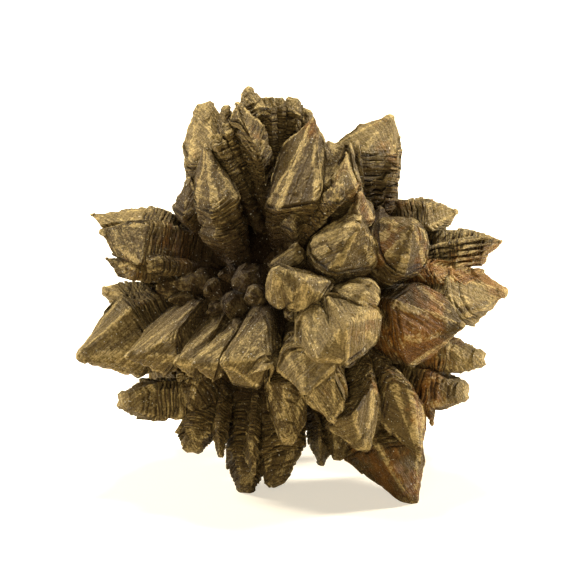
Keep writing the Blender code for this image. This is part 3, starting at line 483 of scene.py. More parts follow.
def ragged(u, v, seed):
    """Smooth random numbers from about -1 to 1 at each (u, v)."""
    u, v = np.broadcast_arrays(u, v)
    flat = [noise.noise((a, b, seed)) for a, b in zip(u.ravel(), v.ravel())]
    return np.array(flat).reshape(u.shape) * NOISE_GAIN


def unit(vectors):
    return vectors / np.linalg.norm(vectors, axis=1)[:, None]


print("ragged numbers near", ragged(np.array([0.3, 0.9]), 0.5, 2.5).round(3))

# %% What the flanks and the roof of one crystal are both worked out from
LAYER_DIP = 0.3    # where only the rim tells, the layers dip this much along the axis
THIN = 1.6         # mm from middle to rim: the relief is shallower on a thinner crystal


def crystal_form(root, tip, blunt, rim, waist, fine, seed, towards):
    form = SimpleNamespace(blunt=blunt, waist=waist, fine=fine, seed=seed, dice=random.Random(seed))
    rim = [Vector(corner) for corner in rim]
    middle = sum(rim, Vector()) / len(rim)
    rim = sorted_round(Vector(root), middle, rim)
    form.outline, form.places, form.corners = outline_of(rim, fine["length"], form.dice)
    form.root, form.tip, form.middle = (np.array(Vector(place)) for place in (root, tip, middle))
    axis = form.middle - form.root
    form.reach = np.linalg.norm(axis)
    form.axis = axis / form.reach
    form.around = np.roll(form.outline, -1, 0) - np.roll(form.outline, 1, 0)
    outward = unit(np.cross(form.around, form.axis))
    from_middle = form.outline - form.middle
    form.outward = outward * np.sign(np.sum(outward * from_middle, axis=1).sum())
    spans = np.array([rim[(i + 1) % len(rim)] - corner for i, corner in enumerate(rim)])
    longest = spans[np.argmax(np.linalg.norm(spans, axis=1))]
    dip = LAYER_DIP * form.axis * np.linalg.norm(longest)
    across = np.array(towards or np.cross(longest, form.axis) + dip)
    form.across = across / np.linalg.norm(across)
    form.depth = min(1.0, np.linalg.norm(from_middle, axis=1).min() / THIN)
    return form


# %% One ring of points, and the growth numbers of each point
LONGEST = 32.0    # mm, so that the length along a crystal stays between 0 and 1


def ring_of(points, ridge, along, roof, keep):
    numbers = [np.broadcast_to(v, len(points)) for v in (ridge, along / LONGEST, roof)]
    return points[keep], np.stack(numbers, 1)[keep], keep


def along_rim(form, kind, height):
    per_mm, per_step, apart = kind
    return ragged(form.places * per_mm, height * per_step, form.seed + apart)


# %% The growth layers of the flanks
FIRST_LAYER_AT = (0.34, 0.26, 0.18, 0.1, 0.02)   # the first of these that the core still covers
COVERED = 7.4
LAYER_STEPS = (0.6, 0.8, 0.9, 1.0, 1.2, 1.9)     # layers are this many pitches thick
LAST_LAYER = 0.9           # no layer starts nearer to the rim than this many pitches
HIDDEN_UNTIL = 0.5         # nearer to the root than this, neighbours hide most of a crystal
HIDDEN_PITCH = 1.8         # so the layers are thicker there


def layers_of(form):
    """Where each layer starts and ends, in mm from the root."""
    pitch, reach = form.fine["pitch"], form.reach
    inside = [at for at in FIRST_LAYER_AT
              if np.linalg.norm(form.root + at * (form.middle - form.root)) < COVERED]
    edges = [(inside[0] if inside else 0.0) * reach]
    while edges[-1] < reach - LAST_LAYER * pitch:
        hidden = HIDDEN_PITCH if edges[-1] < HIDDEN_UNTIL * reach else 1.0
        edges.append(edges[-1] + pitch * hidden * form.dice.choice(LAYER_STEPS))
    edges[-1] = reach
    return list(zip(edges[:-1], edges[1:]))


# %% [markdown]
# Each layer gives two or three rings: a groove where it begins, and its ridge. The whole flank also
# swells and steps a little, ragged edges jut out of the ridges, and narrow columns of the crystal
# have slipped past one another, which breaks up rings that would otherwise run right round it.

# %% How the flanks are rough
LAYER = ((0.0, 0.0), (0.2, 0.55), (0.84, 1.0))    # where a layer's rings lie in it, and how raised
PLAIN_LAYER = ((0.0, 0.0), (0.4, 1.0))
# each with its pace along the rim and up the crystal, and the number that keeps it apart
RIBS, STEPS, COLUMNS = (0.5, 0.11, 0.5), (0.14, 0.6, 9.5), (0.4, 0.0, 81.5)
JAGS, GROOVES = (1.3, 0.83, 17.5), (0.3, 0.77, 3.5)
LEDGES, LIFTS = (0.22, 5.31, 23.5), (0.9, 0.61, 31.5)
COLUMN, COLUMN_STRAYS = 1.3, 0.35    # mm wide, and how far its sides stray, as a part of that
ONE_A_COLUMN = (5.37, 91.5)
DEEP, DEEP_VARIES, DEEP_LIMITS = 0.7, 0.8, (0.1, 1.5)    # of a groove, as parts of the finish's own
USUAL_LAYER = 0.4      # mm: the edges of a thicker layer stray further up and down
FADE, FADE_TO = 1.2, 0.3    # mm under the rim in which the relief fades, and what is left of it


# %% The rings of the flanks, from the root up to the rim
def flank_rings(form):
    fine = form.fine
    columns = np.floor(form.places / COLUMN + COLUMN_STRAYS * along_rim(form, COLUMNS, 0.0))
    slips = fine["slip"] * ragged(columns * ONE_A_COLUMN[0], 0.5, form.seed + ONE_A_COLUMN[1])
    for i, (bottom, top) in enumerate(layers_of(form)):
        deep = np.clip(DEEP + DEEP_VARIES * along_rim(form, GROOVES, i), *DEEP_LIMITS)
        ledge = fine["ledge"] * along_rim(form, LEDGES, i)
        jags = along_rim(form, JAGS, i)
        lift = fine["jag"] * along_rim(form, LIFTS, i) * (top - bottom) / USUAL_LAYER + slips
        plain = fine["coarse"] or bottom < HIDDEN_UNTIL * form.reach
        for share, ridge in PLAIN_LAYER if plain else LAYER:
            at = bottom + share * (top - bottom)
            part = at / form.reach
            taper = form.waist + (1 - form.waist) * part
            base = form.root + part * (form.middle - form.root) + taper * (form.outline - form.middle)
            out = fine["rib"] * along_rim(form, RIBS, at) + fine["step"] * along_rim(form, STEPS, at)
            out = out + ledge
            out = out + (fine["jag"] * jags * ridge if ridge else -fine["groove"] * deep)
            fade = min(1.0, (form.reach - at) / FADE + FADE_TO)
            base = base + form.outward * (out * form.depth * fade)[:, None]
            base = base + form.axis * (lift * fade)[:, None]
            # a ridge is painted palest where it juts out, as rubbed wear and painted highlight, and a
            # groove gets more painted shade the deeper it is
            rubbed_and_lit = ridge * (0.75 + 0.25 * jags) if ridge else 0.9 - 0.9 * np.clip(deep, 0, 1)
            yield ring_of(base, rubbed_and_lit, (base - form.root) @ form.axis, 0.0, np.arange(len(base)))


# %% [markdown]
# The roof begins as the last layers do and soon gets smooth, with long low folds that run the way
# its layers lie. Its rings slide from the rim up to a shoulder just under the tip. The blunter the
# crystal is worn, the further the shoulder bulges, but it never gets past the tip, which would
# leave a dent.

# %% The worn shoulder under the tip
TIP_SWELL = (0.15, 0.8)    # how far a sharp tip bulges, and how much more a fully blunt one
TIP_CLEAR = 0.85           # a shoulder rises this part of the way to the tip at most


def worn_shoulder(form):
    """The ring of the shoulder, and how far it bulges."""
    rise = form.tip - form.middle
    below = (form.tip - form.outline) @ rise / (rise @ rise)
    share = np.minimum(TIP_SWELL[0] + TIP_SWELL[1] * form.blunt, TIP_CLEAR * below)
    swell = rise * (form.blunt * share)[:, None]
    return form.tip + form.blunt * (form.outline - form.tip) + swell, swell


# %% How the roof is rough, and how it shines
ROOF_START = 0.08          # mm from the rim to the first ring
ROOF_PACE = (0.8, 1.3)     # the next ones are this many roof steps apart
THINNER_AT = (0.4, 0.7)    # from here on, rings keep every second and every fourth point
# pace in x, y and z for the noise's two directions, and the number that keeps it apart
ROOF_WAVES = ((0.45, 0.25, 0.35), (0.15, 0.5, -0.35), 41.5)
ROOF_GRAIN = ((2.6, 0.7, 1.2), (-1.0, 2.6, 0.9), 51.5)
ROOF_JAGS, ROOF_GROOVES = (1.2, 0.83, 61.5), (0.3, 0.77, 71.5)
ONE_A_SIDE = (3.37, 101.5)
FOLD_WIDTH, FOLD_PACE, FOLDS_APART = 0.55, 0.12, 111.5
WAVE_HEIGHT, GRAIN_HEIGHT, FOLD_HEIGHT = 0.08, 0.05, 0.12    # mm
SUNK = 0.12                # mm that the roof lies lower, so that its folds stay under the real edges
LAYERED = 0.8              # how much of the flanks' layers the roof has at its rim
ROOF_DEEP, ROOF_DEEP_LIMITS = 0.5, (0.0, 1.3)
# how light a roof is painted, as rubbed wear with painted highlight at corners and painted shade
# in grooves: anywhere, by its side, by its grain and folds, at a corner, in a groove
SHINE, BY_SIDE, BY_GRAIN, BY_FOLDS, AT_CORNER, IN_GROOVE = 0.54, 0.2, 0.16, 0.07, 0.4, 0.8
# the worn tip is painted pale, as rubbed wear and painted highlight
SHOULDER_SHINE, DOME_SHINE = 0.6, 0.8
DOME_WIDTH, DOME_RISE = 0.6, 0.35    # the last ring under the tip, as parts of the shoulder's


def over_ring(form, ring, kind):
    first, second, apart = kind
    return ragged(ring @ first, ring @ second, form.seed + apart)


def kept_points(form, up):
    every = 1 if up < THINNER_AT[0] else 2 if up < THINNER_AT[1] else 4
    return np.arange(len(form.outline))[::every]


# %% The rings of the roof, from the rim up to the shoulder and over it
def roof_rings(form):
    fine, across = form.fine, form.across
    shoulder, swell = worn_shoulder(form)
    slope = shoulder - form.outline
    slant = np.linalg.norm(slope, axis=1).mean()
    raised = unit(np.cross(form.around, slope))
    raised *= np.sign(np.sum(raised * form.outward, axis=1).sum())
    sides = np.maximum.accumulate(np.cumsum(form.corners) // 2)
    facets = BY_SIDE * ragged(sides * ONE_A_SIDE[0], 0.5, form.seed + ONE_A_SIDE[1])
    at, step = ROOF_START, 0
    while at < slant:
        up = at / slant
        layered = max(0.0, 1.0 - up / fine["terraces"]) * LAYERED
        deep = np.clip(ROOF_DEEP + along_rim(form, ROOF_GROOVES, step), *ROOF_DEEP_LIMITS) * layered
        slip = (fine["jag"] * along_rim(form, ROOF_JAGS, step) * layered)[:, None] * unit(-slope)
        for ridge in (0.0, 1.0) if layered else (0.5,):
            here = up + ridge * 0.5 * fine["roof"] / slant if layered else up
            ring = form.outline + here * slope
            waves, grain = over_ring(form, ring, ROOF_WAVES), over_ring(form, ring, ROOF_GRAIN)
            folds = ragged(ring @ across / FOLD_WIDTH, ring @ form.axis * FOLD_PACE,
                           form.seed + FOLDS_APART)
            out = WAVE_HEIGHT * waves + GRAIN_HEIGHT * grain + FOLD_HEIGHT * folds - SUNK
            out = out - (1 - ridge) * fine["groove"] * deep
            ring = ring + raised * (out * form.depth)[:, None] + slip
            shine = SHINE + facets + BY_GRAIN * grain + AT_CORNER * form.corners
            shine = shine - (1 - ridge) * IN_GROOVE * deep
            shine = np.clip(shine + BY_FOLDS * folds, 0, 1)
            yield ring_of(ring, shine, ring @ across + LONGEST, 1.0, kept_points(form, up))
        at += fine["roof"] * form.dice.uniform(*ROOF_PACE)
        step += 1
    dome = form.tip + DOME_WIDTH * (shoulder - form.tip) + DOME_RISE * swell
    for ring, shine in ((shoulder, SHOULDER_SHINE), (dome, DOME_SHINE)):
        yield ring_of(ring, shine, ring @ across + LONGEST, 1.0, kept_points(form, 1.0))


# %% [markdown]
# The rings become a mesh in one go: a face for each length of the inner ring of two, a fan at the
# tip and a flat lid at the root. Rings near the tip keep fewer points, because there is less room.
# Four numbers ride along on every face corner, as the four parts of a colour, for the material to
# read. Red is how light the place is painted: high on rubbed edges and ridges, partly as painted
# highlight, and low in grooves, as painted shade. Green is how far along the crystal it lies or,
# on a roof, how far across the layers. Blue is 1 on a roof, and alpha is the crystal's tone and
# rust, whose paleness is partly painted light and shade.

# %% A closed mesh from rings
def faces_between(lower, upper, first_lower, first_upper):
    """Faces from one ring to the next, which keeps the same outline points or some of them."""
    where = {int(k): i for i, k in enumerate(lower)}
    for i, k in enumerate(upper):
        following = (i + 1) % len(upper)
        a, b = where[int(k)], where[int(upper[following])]
        b = b if b > a else b + len(lower)
        span = [first_lower + j % len(lower) for j in range(a, b + 1)]
        yield span + [first_upper + following, first_upper + i]


def mesh_from_rings(name, rings, tip, tone):
    points, numbers, faces, first = [], [], [], 0
    for r, (ring, values, keep) in enumerate(rings):
        points.append(ring)
        numbers.append(values)
        if r:
            faces.extend(faces_between(kept, keep, last, first))
        last, kept = first, keep
        first += len(ring)
    n, top = len(rings[0][0]), len(rings[-1][0])
    points = np.concatenate([*points, [rings[0][0].mean(0)], [tip]])
    numbers = np.concatenate([*numbers, [[0, 0, 0]], [[1, numbers[-1][:, 1].max(), 1]]])
    faces += [[(i + 1) % n, i, first] for i in range(n)]
    faces += [[last + i, last + (i + 1) % top, first + 1] for i in range(top)]
    mesh = bpy.data.meshes.new(name)
    mesh.from_pydata(points.tolist(), [], faces)
    corners = np.empty(len(mesh.loops), np.int32)
    mesh.loops.foreach_get("vertex_index", corners)
    growth = np.concatenate([numbers[corners], np.full((len(corners), 1), tone)], 1)
    layer = mesh.attributes.new("growth", "FLOAT_COLOR", "CORNER")
    layer.data.foreach_set("color", growth.astype(np.float32).ravel())
    if signed_volume(mesh) < 0:
        mesh.flip_normals()
    return mesh


def signed_volume(mesh):
    body = bmesh.new()
    body.from_mesh(mesh)
    volume = body.calc_volume(signed=True)
    body.free()
    return volume


# %% [markdown]
# ## All the crystals
# Six kinds of finish cover them all. The crystals of the show side come straight from the tables.
# Those of the hidden side and of the hollows first need a rim, which one function each works out.

# %% How fine and how rough each kind of crystal is
# in mm, apart from coarse and from terraces, the part of a roof that the layers still reach
FINE = {"length": 0.42, "pitch": 0.44, "rib": 0.1, "step": 0.16, "jag": 0.1, "groove": 0.34,
        "slip": 0.12, "roof": 0.42, "coarse": False, "terraces": 0.7, "ledge": 0.2}
TOOTHED = dict(FINE, rib=0.18, jag=0.16, groove=0.42, slip=0.34, terraces=1.3, ledge=0.22)
SMOOTH = dict(FINE, terraces=0.25)
RUGGED = dict(TOOTHED, terraces=0.25, slip=0.5, ledge=0.3)
LUMPY = dict(FINE, groove=0.1, ledge=0.02, terraces=0.05)
COARSE = dict(FINE, length=0.7, pitch=0.55, roof=0.7, coarse=True)
SMOOTH_ROOFED = (
    "top_spear right_slab left_spear centre_left centre_right right_fin left_fin top_side "
    "small_spear right_block upper_block centre_low centre_striped centre_top_left centre_top_right "
    "upper_block_foot low_spear_right left_blade comb_a comb_b comb_c comb_d comb_e low_centre "
    "low_right_thumb low_right_fin right_foot"
).split()

# %% Rims for the hidden side's blades and for the hollows' small crystals
LUMP_CORNERS = 5
LUMP_TURN_DEG = 18.0       # each corner strays this far from an even spacing
LUMP_RIM_AT = (0.84, 0.94)
LUMP_REACH = (0.8, 1.2)
LUMP_ROOT_AT = 0.25
LUMP_BLUNT = 0.4


def back_blades(tip, width, thickness, roll, blunt, count):
    axis = Vector(tip).normalized()
    side = axis.cross(Vector((0, 1, 0))).normalized()
    side = Matrix.Rotation(math.radians(roll), 3, axis) @ side
    across = axis.cross(side)
    for i in range(count):
        shift = i - (count - 1) / 2
        end = Vector(tip) * (1 - BACK_SHORTER * abs(shift)) + across * (shift * BACK_PITCH * thickness)
        middle = end * BACK_RIM_AT
        rim = [middle + side * (a * width) + across * (b * thickness) + end * c for a, b, c in BACK_RIM]
        yield end * BACK_ROOT_AT, end, blunt, rim


def lump_rim(tip, half_width, dice):
    """Uneven corners around a short, rounded crystal."""
    axis = Vector(tip).normalized()
    side = axis.orthogonal().normalized()
    for k in range(LUMP_CORNERS):
        turn = 360 / LUMP_CORNERS * k + dice.uniform(-LUMP_TURN_DEG, LUMP_TURN_DEG)
        turned = Matrix.Rotation(math.radians(turn), 3, axis) @ side
        middle = Vector(tip) * dice.uniform(*LUMP_RIM_AT)
        yield middle + turned * (half_width * dice.uniform(*LUMP_REACH))


# %% Every crystal of the specimen
WAIST = 0.62          # how wide a crystal still is at its root, as a part of its rim
PLATE_WAIST = 0.92


def all_crystals():
    for name, crystal in CRYSTALS.items():
        yield name, *crystal, WAIST, SMOOTH if name in SMOOTH_ROOFED else FINE
    for name, crystal in PLATES.items():
        yield name, *crystal, PLATE_WAIST, RUGGED if name in SMOOTH_ROOFED else TOOTHED
    for name, (root, tip, blunt, rim, shift, count) in SHEAVES.items():
        for i in range(count):
            step = Vector(shift) * i
            moved = [Vector(corner) + step for corner in rim]
            yield f"{name}_{i}", root, Vector(tip) + step, blunt, moved, PLATE_WAIST, TOOTHED
    for name, (tip, half_width) in LUMPS.items():
        rim = list(lump_rim(tip, half_width, random.Random(name)))
        yield name, Vector(tip) * LUMP_ROOT_AT, tip, LUMP_BLUNT, rim, PLATE_WAIST, LUMPY
    for name, group in BACK_BLADES.items():
        for i, blade in enumerate(back_blades(*group)):
            yield f"{name}_{i}", *blade, WAIST, COARSE


# %% [markdown]
# ## Growing them together
# On the real specimen the crystals run into one another and share one surface. A Boolean union
# does the same: every crystal goes in a collection, and one modifier on the core joins them all.
# The Manifold solver is the quick one for closed meshes, and it carries the four numbers along.
# It needs clean crystals, and on a few shapes it never comes to an end. Moving the corners by a
# tenth of a millimetre gets it past that, which is why the foot of the fan has slightly different
# corners here than in the measured model.

# %% Crystals into a collection for each part of the specimen
PARTS = ("upper", "lower", "hidden_side")
SEEDS_APART = 3.7


def part_of(name, tip):
    return "hidden_side" if name.startswith("back_") else "upper" if tip[1] > 0 else "lower"


def tone_of(name):
    """Its whole part is how rusty the crystal is, and its fraction, always under 1, how pale it is
    painted: its own tone, with painted light and shade on top.
    """
    unlisted = 0.0 if name in LUMPS else random.Random(name).uniform(*UNLISTED_PALE)
    pale, rust = TONE_LIGHT_AND_RUST.get(name, (unlisted, 0))
    return 0.9 * pale + rust


grown = {}
for part in PARTS:
    grown[part] = bpy.data.collections.new(part)
    bpy.context.scene.collection.children.link(grown[part])
for number, (name, *shape, fine) in enumerate(all_crystals()):
    form = crystal_form(*shape, fine, number * SEEDS_APART, LAYERS_TOWARDS.get(name))
    mesh = mesh_from_rings(name, [*flank_rings(form), *roof_rings(form)], form.tip, tone_of(name))
    mesh.transform(FRAME)
    grown[part_of(name, form.tip)].objects.link(bpy.data.objects.new(name, mesh))

# %% The core that they grow from, and a slab under the resting surface
CORE_RADIUS = 8.5     # mm
SLAB = 0.1            # m


def helper_object(name, body, matrix):
    mesh = bpy.data.meshes.new(name)
    body.to_mesh(mesh)
    body.free()
    mesh.transform(matrix)
    made = bpy.data.objects.new(name, mesh)
    bpy.context.scene.collection.objects.link(made)
    return made


def core_object():
    body = bmesh.new()
    bmesh.ops.create_icosphere(body, subdivisions=4, radius=CORE_RADIUS)
    return helper_object("core", body, FRAME)


def slab_below():
    body = bmesh.new()
    bmesh.ops.create_cube(body, size=1)
    return helper_object("slab", body, Matrix.Translation((0, 0, -SLAB / 2)) @ Matrix.Scale(SLAB, 4))


# %% One union for each part, cut flat where the specimen rests
def boolean(obj, operation, **operand):
    modifier = obj.modifiers.new(operation.lower(), "BOOLEAN")
    modifier.operation = operation
    modifier.solver = "MANIFOLD"
    for key, value in operand.items():
        setattr(modifier, key, value)


def joined(part):
    base = core_object()
    slab = slab_below()
    boolean(base, "UNION", operand_type="COLLECTION", collection=grown[part])
    boolean(base, "DIFFERENCE", object=slab)
    graph = bpy.context.evaluated_depsgraph_get()
    mesh = bpy.data.meshes.new_from_object(base.evaluated_get(graph))
    for obj in (base, slab, *grown[part].objects):
        bpy.data.objects.remove(obj)
    bpy.data.collections.remove(grown[part])
    return mesh


def keep_inside(mesh, box):
    """Rubs off the little that a rounded tip or a ragged edge puts outside the measured box."""
    points = np.empty(len(mesh.vertices) * 3, np.float32)
    mesh.vertices.foreach_get("co", points)
    points = np.clip(points.reshape(-1, 3), *np.array([corner[:] for corner in box], np.float32))
    mesh.vertices.foreach_set("co", points.ravel())


meshes = {part: joined(part) for part in PARTS}
for part, mesh in meshes.items():
    keep_inside(mesh, cad_box)
    print(part, "has", sum(len(p.vertices) - 2 for p in mesh.polygons), "triangles")

# %% [markdown]
# ## The skin of the specimen
# Fresh marcasite is pale brass. In a collection it goes olive brown, stays light only where edges
# are rubbed, and breaks out in rust. Light and shade are painted into the colour too: highlights on
# edges, ridges and glints, shade in grooves and hollows, and paler crystals where light falls.
# Every material here needs the same few effects, so each effect is a node group with named
# inputs, built once and placed in each material with its own values. A few small helpers keep the
# wiring readable.

# %% Helpers for node trees
COLOUR_A, COLOUR_B, COLOUR_RESULT = 6, 7, 2    # a Mix node has sockets for other data types too


def place(tree, kind, inputs=None, **settings):
    """Adds a node. inputs maps a socket's name or number to a value or to another node's output."""
    made = tree.nodes.new(kind)
    for key, value in settings.items():
        setattr(made, key, value)
    for key, value in (inputs or {}).items():
        if isinstance(value, bpy.types.NodeSocket):
            tree.links.new(value, made.inputs[key])
        else:
            made.inputs[key].default_value = value
    return made


def math_node(tree, operation, *values):
    return place(tree, "ShaderNodeMath", dict(enumerate(values)), operation=operation).outputs[0]


def ramp(tree, value, low, high, to_low=0.0, to_high=1.0):
    inputs = {"Value": value, "From Min": low, "From Max": high, "To Min": to_low, "To Max": to_high}
    made = place(tree, "ShaderNodeMapRange", inputs, interpolation_type="SMOOTHSTEP")
    return made.outputs[0]


def tint(tree, mask, first, second, blend="MIX"):
    """second over first, as far as mask says."""
    inputs = {"Factor": mask, COLOUR_A: first, COLOUR_B: second}
    made = place(tree, "ShaderNodeMix", inputs, data_type="RGBA", blend_type=blend)
    return made.outputs[COLOUR_RESULT]


# %% Helpers for noise and for groups
def speckle(tree, scale, detail=3.0):
    where = place(tree, "ShaderNodeTexCoord").outputs["Object"]
    inputs = {"Vector": where, "Scale": scale, "Detail": detail, "Roughness": 0.6}
    return place(tree, "ShaderNodeTexNoise", inputs).outputs[0]


def new_group(name, inputs, outputs):
    """A group of masks and values. inputs maps names to values, and outputs are only names."""
    tree = bpy.data.node_groups.new(name, "ShaderNodeTree")
    for label, value in inputs.items():
        socket = tree.interface.new_socket(label, in_out="INPUT", socket_type="NodeSocketFloat")
        socket.default_value = value
    for label in outputs:
        tree.interface.new_socket(label, in_out="OUTPUT", socket_type="NodeSocketFloat")
    return tree, place(tree, "NodeGroupInput").outputs, place(tree, "NodeGroupOutput").inputs


def use_group(tree, group, inputs):
    return place(tree, "ShaderNodeGroup", inputs, node_tree=group).outputs


# %% [markdown]
# ### Growth, wear and painted light
# This group reads the four numbers that the mesh carries and hands out masks: rubbed edges with
# painted highlight, painted shade in grooves, painted shade and tarnish in the hollows near the
# growth centre, the tone with its painted light, rust and fine layers. A little noise breaks up
# the rubbed edges, and the fine layers come from noise in one dimension, which makes bands: its
# place is the number that says how far along or across the layers a point lies.

# %% The group that reads the growth numbers
BAND = 0.22                 # mm
SWAY = 3.0                  # how many bands the layers wander to and fro
# the hollows are painted dark, as painted shade and as the tarnish that sits there
HOLLOW = (0.0180, 0.0105)   # m from the growth centre: where hollows begin and are fully dark
CENTRE = (CENTRE_OFFSET[0] * MM, CENTRE_OFFSET[1] * MM, REST_HEIGHT * MM)


def growth_group():
    tree, inputs, out = new_group("growth marks and painted light", {"Edge Wear And Highlight": 1.0, "Layers": 1.0}, (
        "Rubbed And Lit", "Groove", "Hollow", "Tone", "Rusty", "Layers"))
    growth = place(tree, "ShaderNodeAttribute", attribute_name="growth")
    parts = place(tree, "ShaderNodeSeparateColor", {0: growth.outputs["Color"]}).outputs
    uneven = ramp(tree, speckle(tree, 2600), 0.35, 0.65, -0.12, 0.12)
    # rubbed edges and ridges, painted pale as wear and as painted highlight
    rubbed_and_lit = ramp(tree, math_node(tree, "ADD", parts["Red"], uneven), 0.6, 1.0)
    tree.links.new(math_node(tree, "MULTIPLY", rubbed_and_lit, inputs["Edge Wear And Highlight"]), out["Rubbed And Lit"])
    # low red paints the shade of the grooves
    tree.links.new(ramp(tree, parts["Red"], 0.5, 0.05), out["Groove"])
    where = place(tree, "ShaderNodeTexCoord").outputs["Object"]
    apart = place(tree, "ShaderNodeVectorMath", {0: where, 1: CENTRE}, operation="DISTANCE")
    # painted shade and tarnish of the hollows around the growth centre
    tree.links.new(ramp(tree, apart.outputs["Value"], *HOLLOW), out["Hollow"])
    tone = growth.outputs["Alpha"]
    tree.links.new(math_node(tree, "FRACT", tone), out["Tone"])
    tree.links.new(math_node(tree, "MULTIPLY", math_node(tree, "FLOOR", tone), 0.1), out["Rusty"])
    bands = math_node(tree, "MULTIPLY", parts["Green"], LONGEST / BAND)
    sway = math_node(tree, "MULTIPLY", speckle(tree, 500), SWAY)
    layer = place(tree, "ShaderNodeTexNoise", {
        "W": math_node(tree, "ADD", bands, sway), "Scale": 1.0, "Detail": 2.0, "Roughness": 0.6},
        noise_dimensions="1D").outputs[0]
    patchy = ramp(tree, speckle(tree, 420, 2.0), 0.3, 0.5)
    line = math_node(tree, "MULTIPLY", ramp(tree, layer, 0.54, 0.42), patchy)
    tree.links.new(math_node(tree, "MULTIPLY", line, inputs["Layers"]), out["Layers"])
    return tree


# %% [markdown]
# ### Rust, fine grain and painted glints
# Rust sits in patches, more of it on the right-hand side. The patch is a slow noise that passes a
# threshold, and a second, finer noise frays its border. The grain is what the eye sees up close:
# tiny pits, an uneven shade, and painted glints: pale specks that stand in for the sparkle of
# fresh faces.

# %% The groups for rust and fine grain
LEFT_AND_RIGHT = (-0.004, 0.014)    # m: rust gets likelier between these two
RUST_THRESHOLD = (0.76, 0.92)
SPECK_THRESHOLD = (0.71, 0.75)


def rust_group():
    tree, inputs, out = new_group("rust patches", {"Amount": 0.0, "Strength": 1.0}, ("Rust",))
    slow = speckle(tree, 130, 2.0)
    fine = speckle(tree, 1100, 4.0)
    patch = math_node(tree, "ADD", slow, math_node(tree, "MULTIPLY", fine, 0.35))
    where = place(tree, "ShaderNodeTexCoord").outputs["Object"]
    across = place(tree, "ShaderNodeSeparateXYZ", {0: where}).outputs["X"]
    patch = math_node(tree, "ADD", patch, ramp(tree, across, *LEFT_AND_RIGHT, -0.1, 0.06))
    patch = math_node(tree, "ADD", patch, math_node(tree, "MULTIPLY", inputs["Amount"], 0.3))
    rust = ramp(tree, patch, *RUST_THRESHOLD)
    tree.links.new(math_node(tree, "MULTIPLY", rust, inputs["Strength"]), out["Rust"])
    return tree


def grain_group():
    tree, inputs, out = new_group("mineral grain", {"Scale": 1500.0, "Painted Glints": 1.0}, (
        "Grain", "Specks", "Height"))
    where = place(tree, "ShaderNodeTexCoord").outputs["Object"]
    grain = place(tree, "ShaderNodeTexNoise", {
        "Vector": where, "Scale": inputs["Scale"], "Detail": 3.0, "Roughness": 0.7}).outputs[0]
    tree.links.new(ramp(tree, grain, 0.36, 0.64), out["Grain"])
    # pale specks for painted glints
    specks = ramp(tree, speckle(tree, 4200, 1.0), *SPECK_THRESHOLD)
    tree.links.new(math_node(tree, "MULTIPLY", specks, inputs["Painted Glints"]), out["Specks"])
    pits = math_node(tree, "MULTIPLY", ramp(tree, speckle(tree, 1500, 2.0), 0.40, 0.30), 0.6)
    height = math_node(tree, "ADD", grain, math_node(tree, "MULTIPLY", speckle(tree, 1400), 0.8))
    tree.links.new(math_node(tree, "SUBTRACT", height, pits), out["Height"])
    return tree


GROWTH = growth_group()
RUST = rust_group()
GRAIN = grain_group()
print("node groups:", [group.name for group in bpy.data.node_groups])

# %% [markdown]
# ### The two materials
# The flanks are layered and dull. The roofs are darker, and their edges and layers show less. Both
# share the groups, each with its own values.

# %% Layered flanks and smooth roofs
OLIVE = (0.105, 0.064, 0.015, 1)
# pale tan of rubbed edges, which is also their painted highlight
TAN = (0.450, 0.320, 0.115, 1)
# umber: painted shade of grooves and hollows, the tarnish of the hollows, and the fine layer lines
UMBER = (0.024, 0.012, 0.003, 1)
RUST_RED = (0.230, 0.085, 0.010, 1)
BROWN = (0.066, 0.040, 0.009, 1)
# pale tone, which also paints light on the crystals where it falls
PALE = (0.245, 0.170, 0.060, 1)
# painted glints: pale specks for the sparkle of fresh faces
PAINTED_GLINT = (0.75, 0.68, 0.5, 1)
# how far grooves get painted shade, and hollows painted shade and tarnish, towards umber
PAINTED_SHADE_AND_TARNISH = 0.9                   # how far grooves and hollows go to umber
GRAIN_SHADE = (0.74, 1.2)    # from the darkest grain to the lightest
ROUGHNESS_SPREAD = 0.15
RELIEF = 0.0002              # m


def mineral(name, body, edge_wear_and_highlight, layers, rust, roughness):
    material = bpy.data.materials.new(name)
    material.use_nodes = True
    tree = material.node_tree
    shader = tree.nodes["Principled BSDF"]
    growth = use_group(tree, GROWTH, {"Edge Wear And Highlight": edge_wear_and_highlight, "Layers": layers})
    rusted = use_group(tree, RUST, {"Amount": growth["Rusty"], "Strength": rust})["Rust"]
    grain = use_group(tree, GRAIN, {"Scale": 5200.0, "Painted Glints": 0.5})
    # each crystal's tone, partly painted light and shade
    colour = tint(tree, growth["Tone"], body, PALE)
    colour = tint(tree, rusted, colour, RUST_RED)
    # rubbed edges with painted highlight
    colour = tint(tree, growth["Rubbed And Lit"], colour, TAN)
    # painted shade in grooves and hollows, with tarnish too in the hollows
    for shade_and_tarnish in ("Groove", "Hollow"):
        colour = tint(tree, math_node(tree, "MULTIPLY", growth[shade_and_tarnish], PAINTED_SHADE_AND_TARNISH), colour, UMBER)
    colour = tint(tree, 1.0, colour, ramp(tree, grain["Grain"], 0.0, 1.0, *GRAIN_SHADE), "MULTIPLY")
    colour = tint(tree, growth["Layers"], colour, UMBER)
    # painted glints
    colour = tint(tree, grain["Specks"], colour, PAINTED_GLINT)
    tree.links.new(colour, shader.inputs["Base Color"])
    spread = (roughness + ROUGHNESS_SPREAD, roughness - ROUGHNESS_SPREAD)
    tree.links.new(ramp(tree, grain["Grain"], 0.0, 1.0, *spread), shader.inputs["Roughness"])
    shader.inputs["Specular IOR Level"].default_value = 0.12
    height = math_node(tree, "SUBTRACT", grain["Height"], growth["Layers"])
    bump = place(tree, "ShaderNodeBump", {"Strength": 1.0, "Distance": RELIEF, "Height": height})
    tree.links.new(bump.outputs[0], shader.inputs["Normal"])
    return material


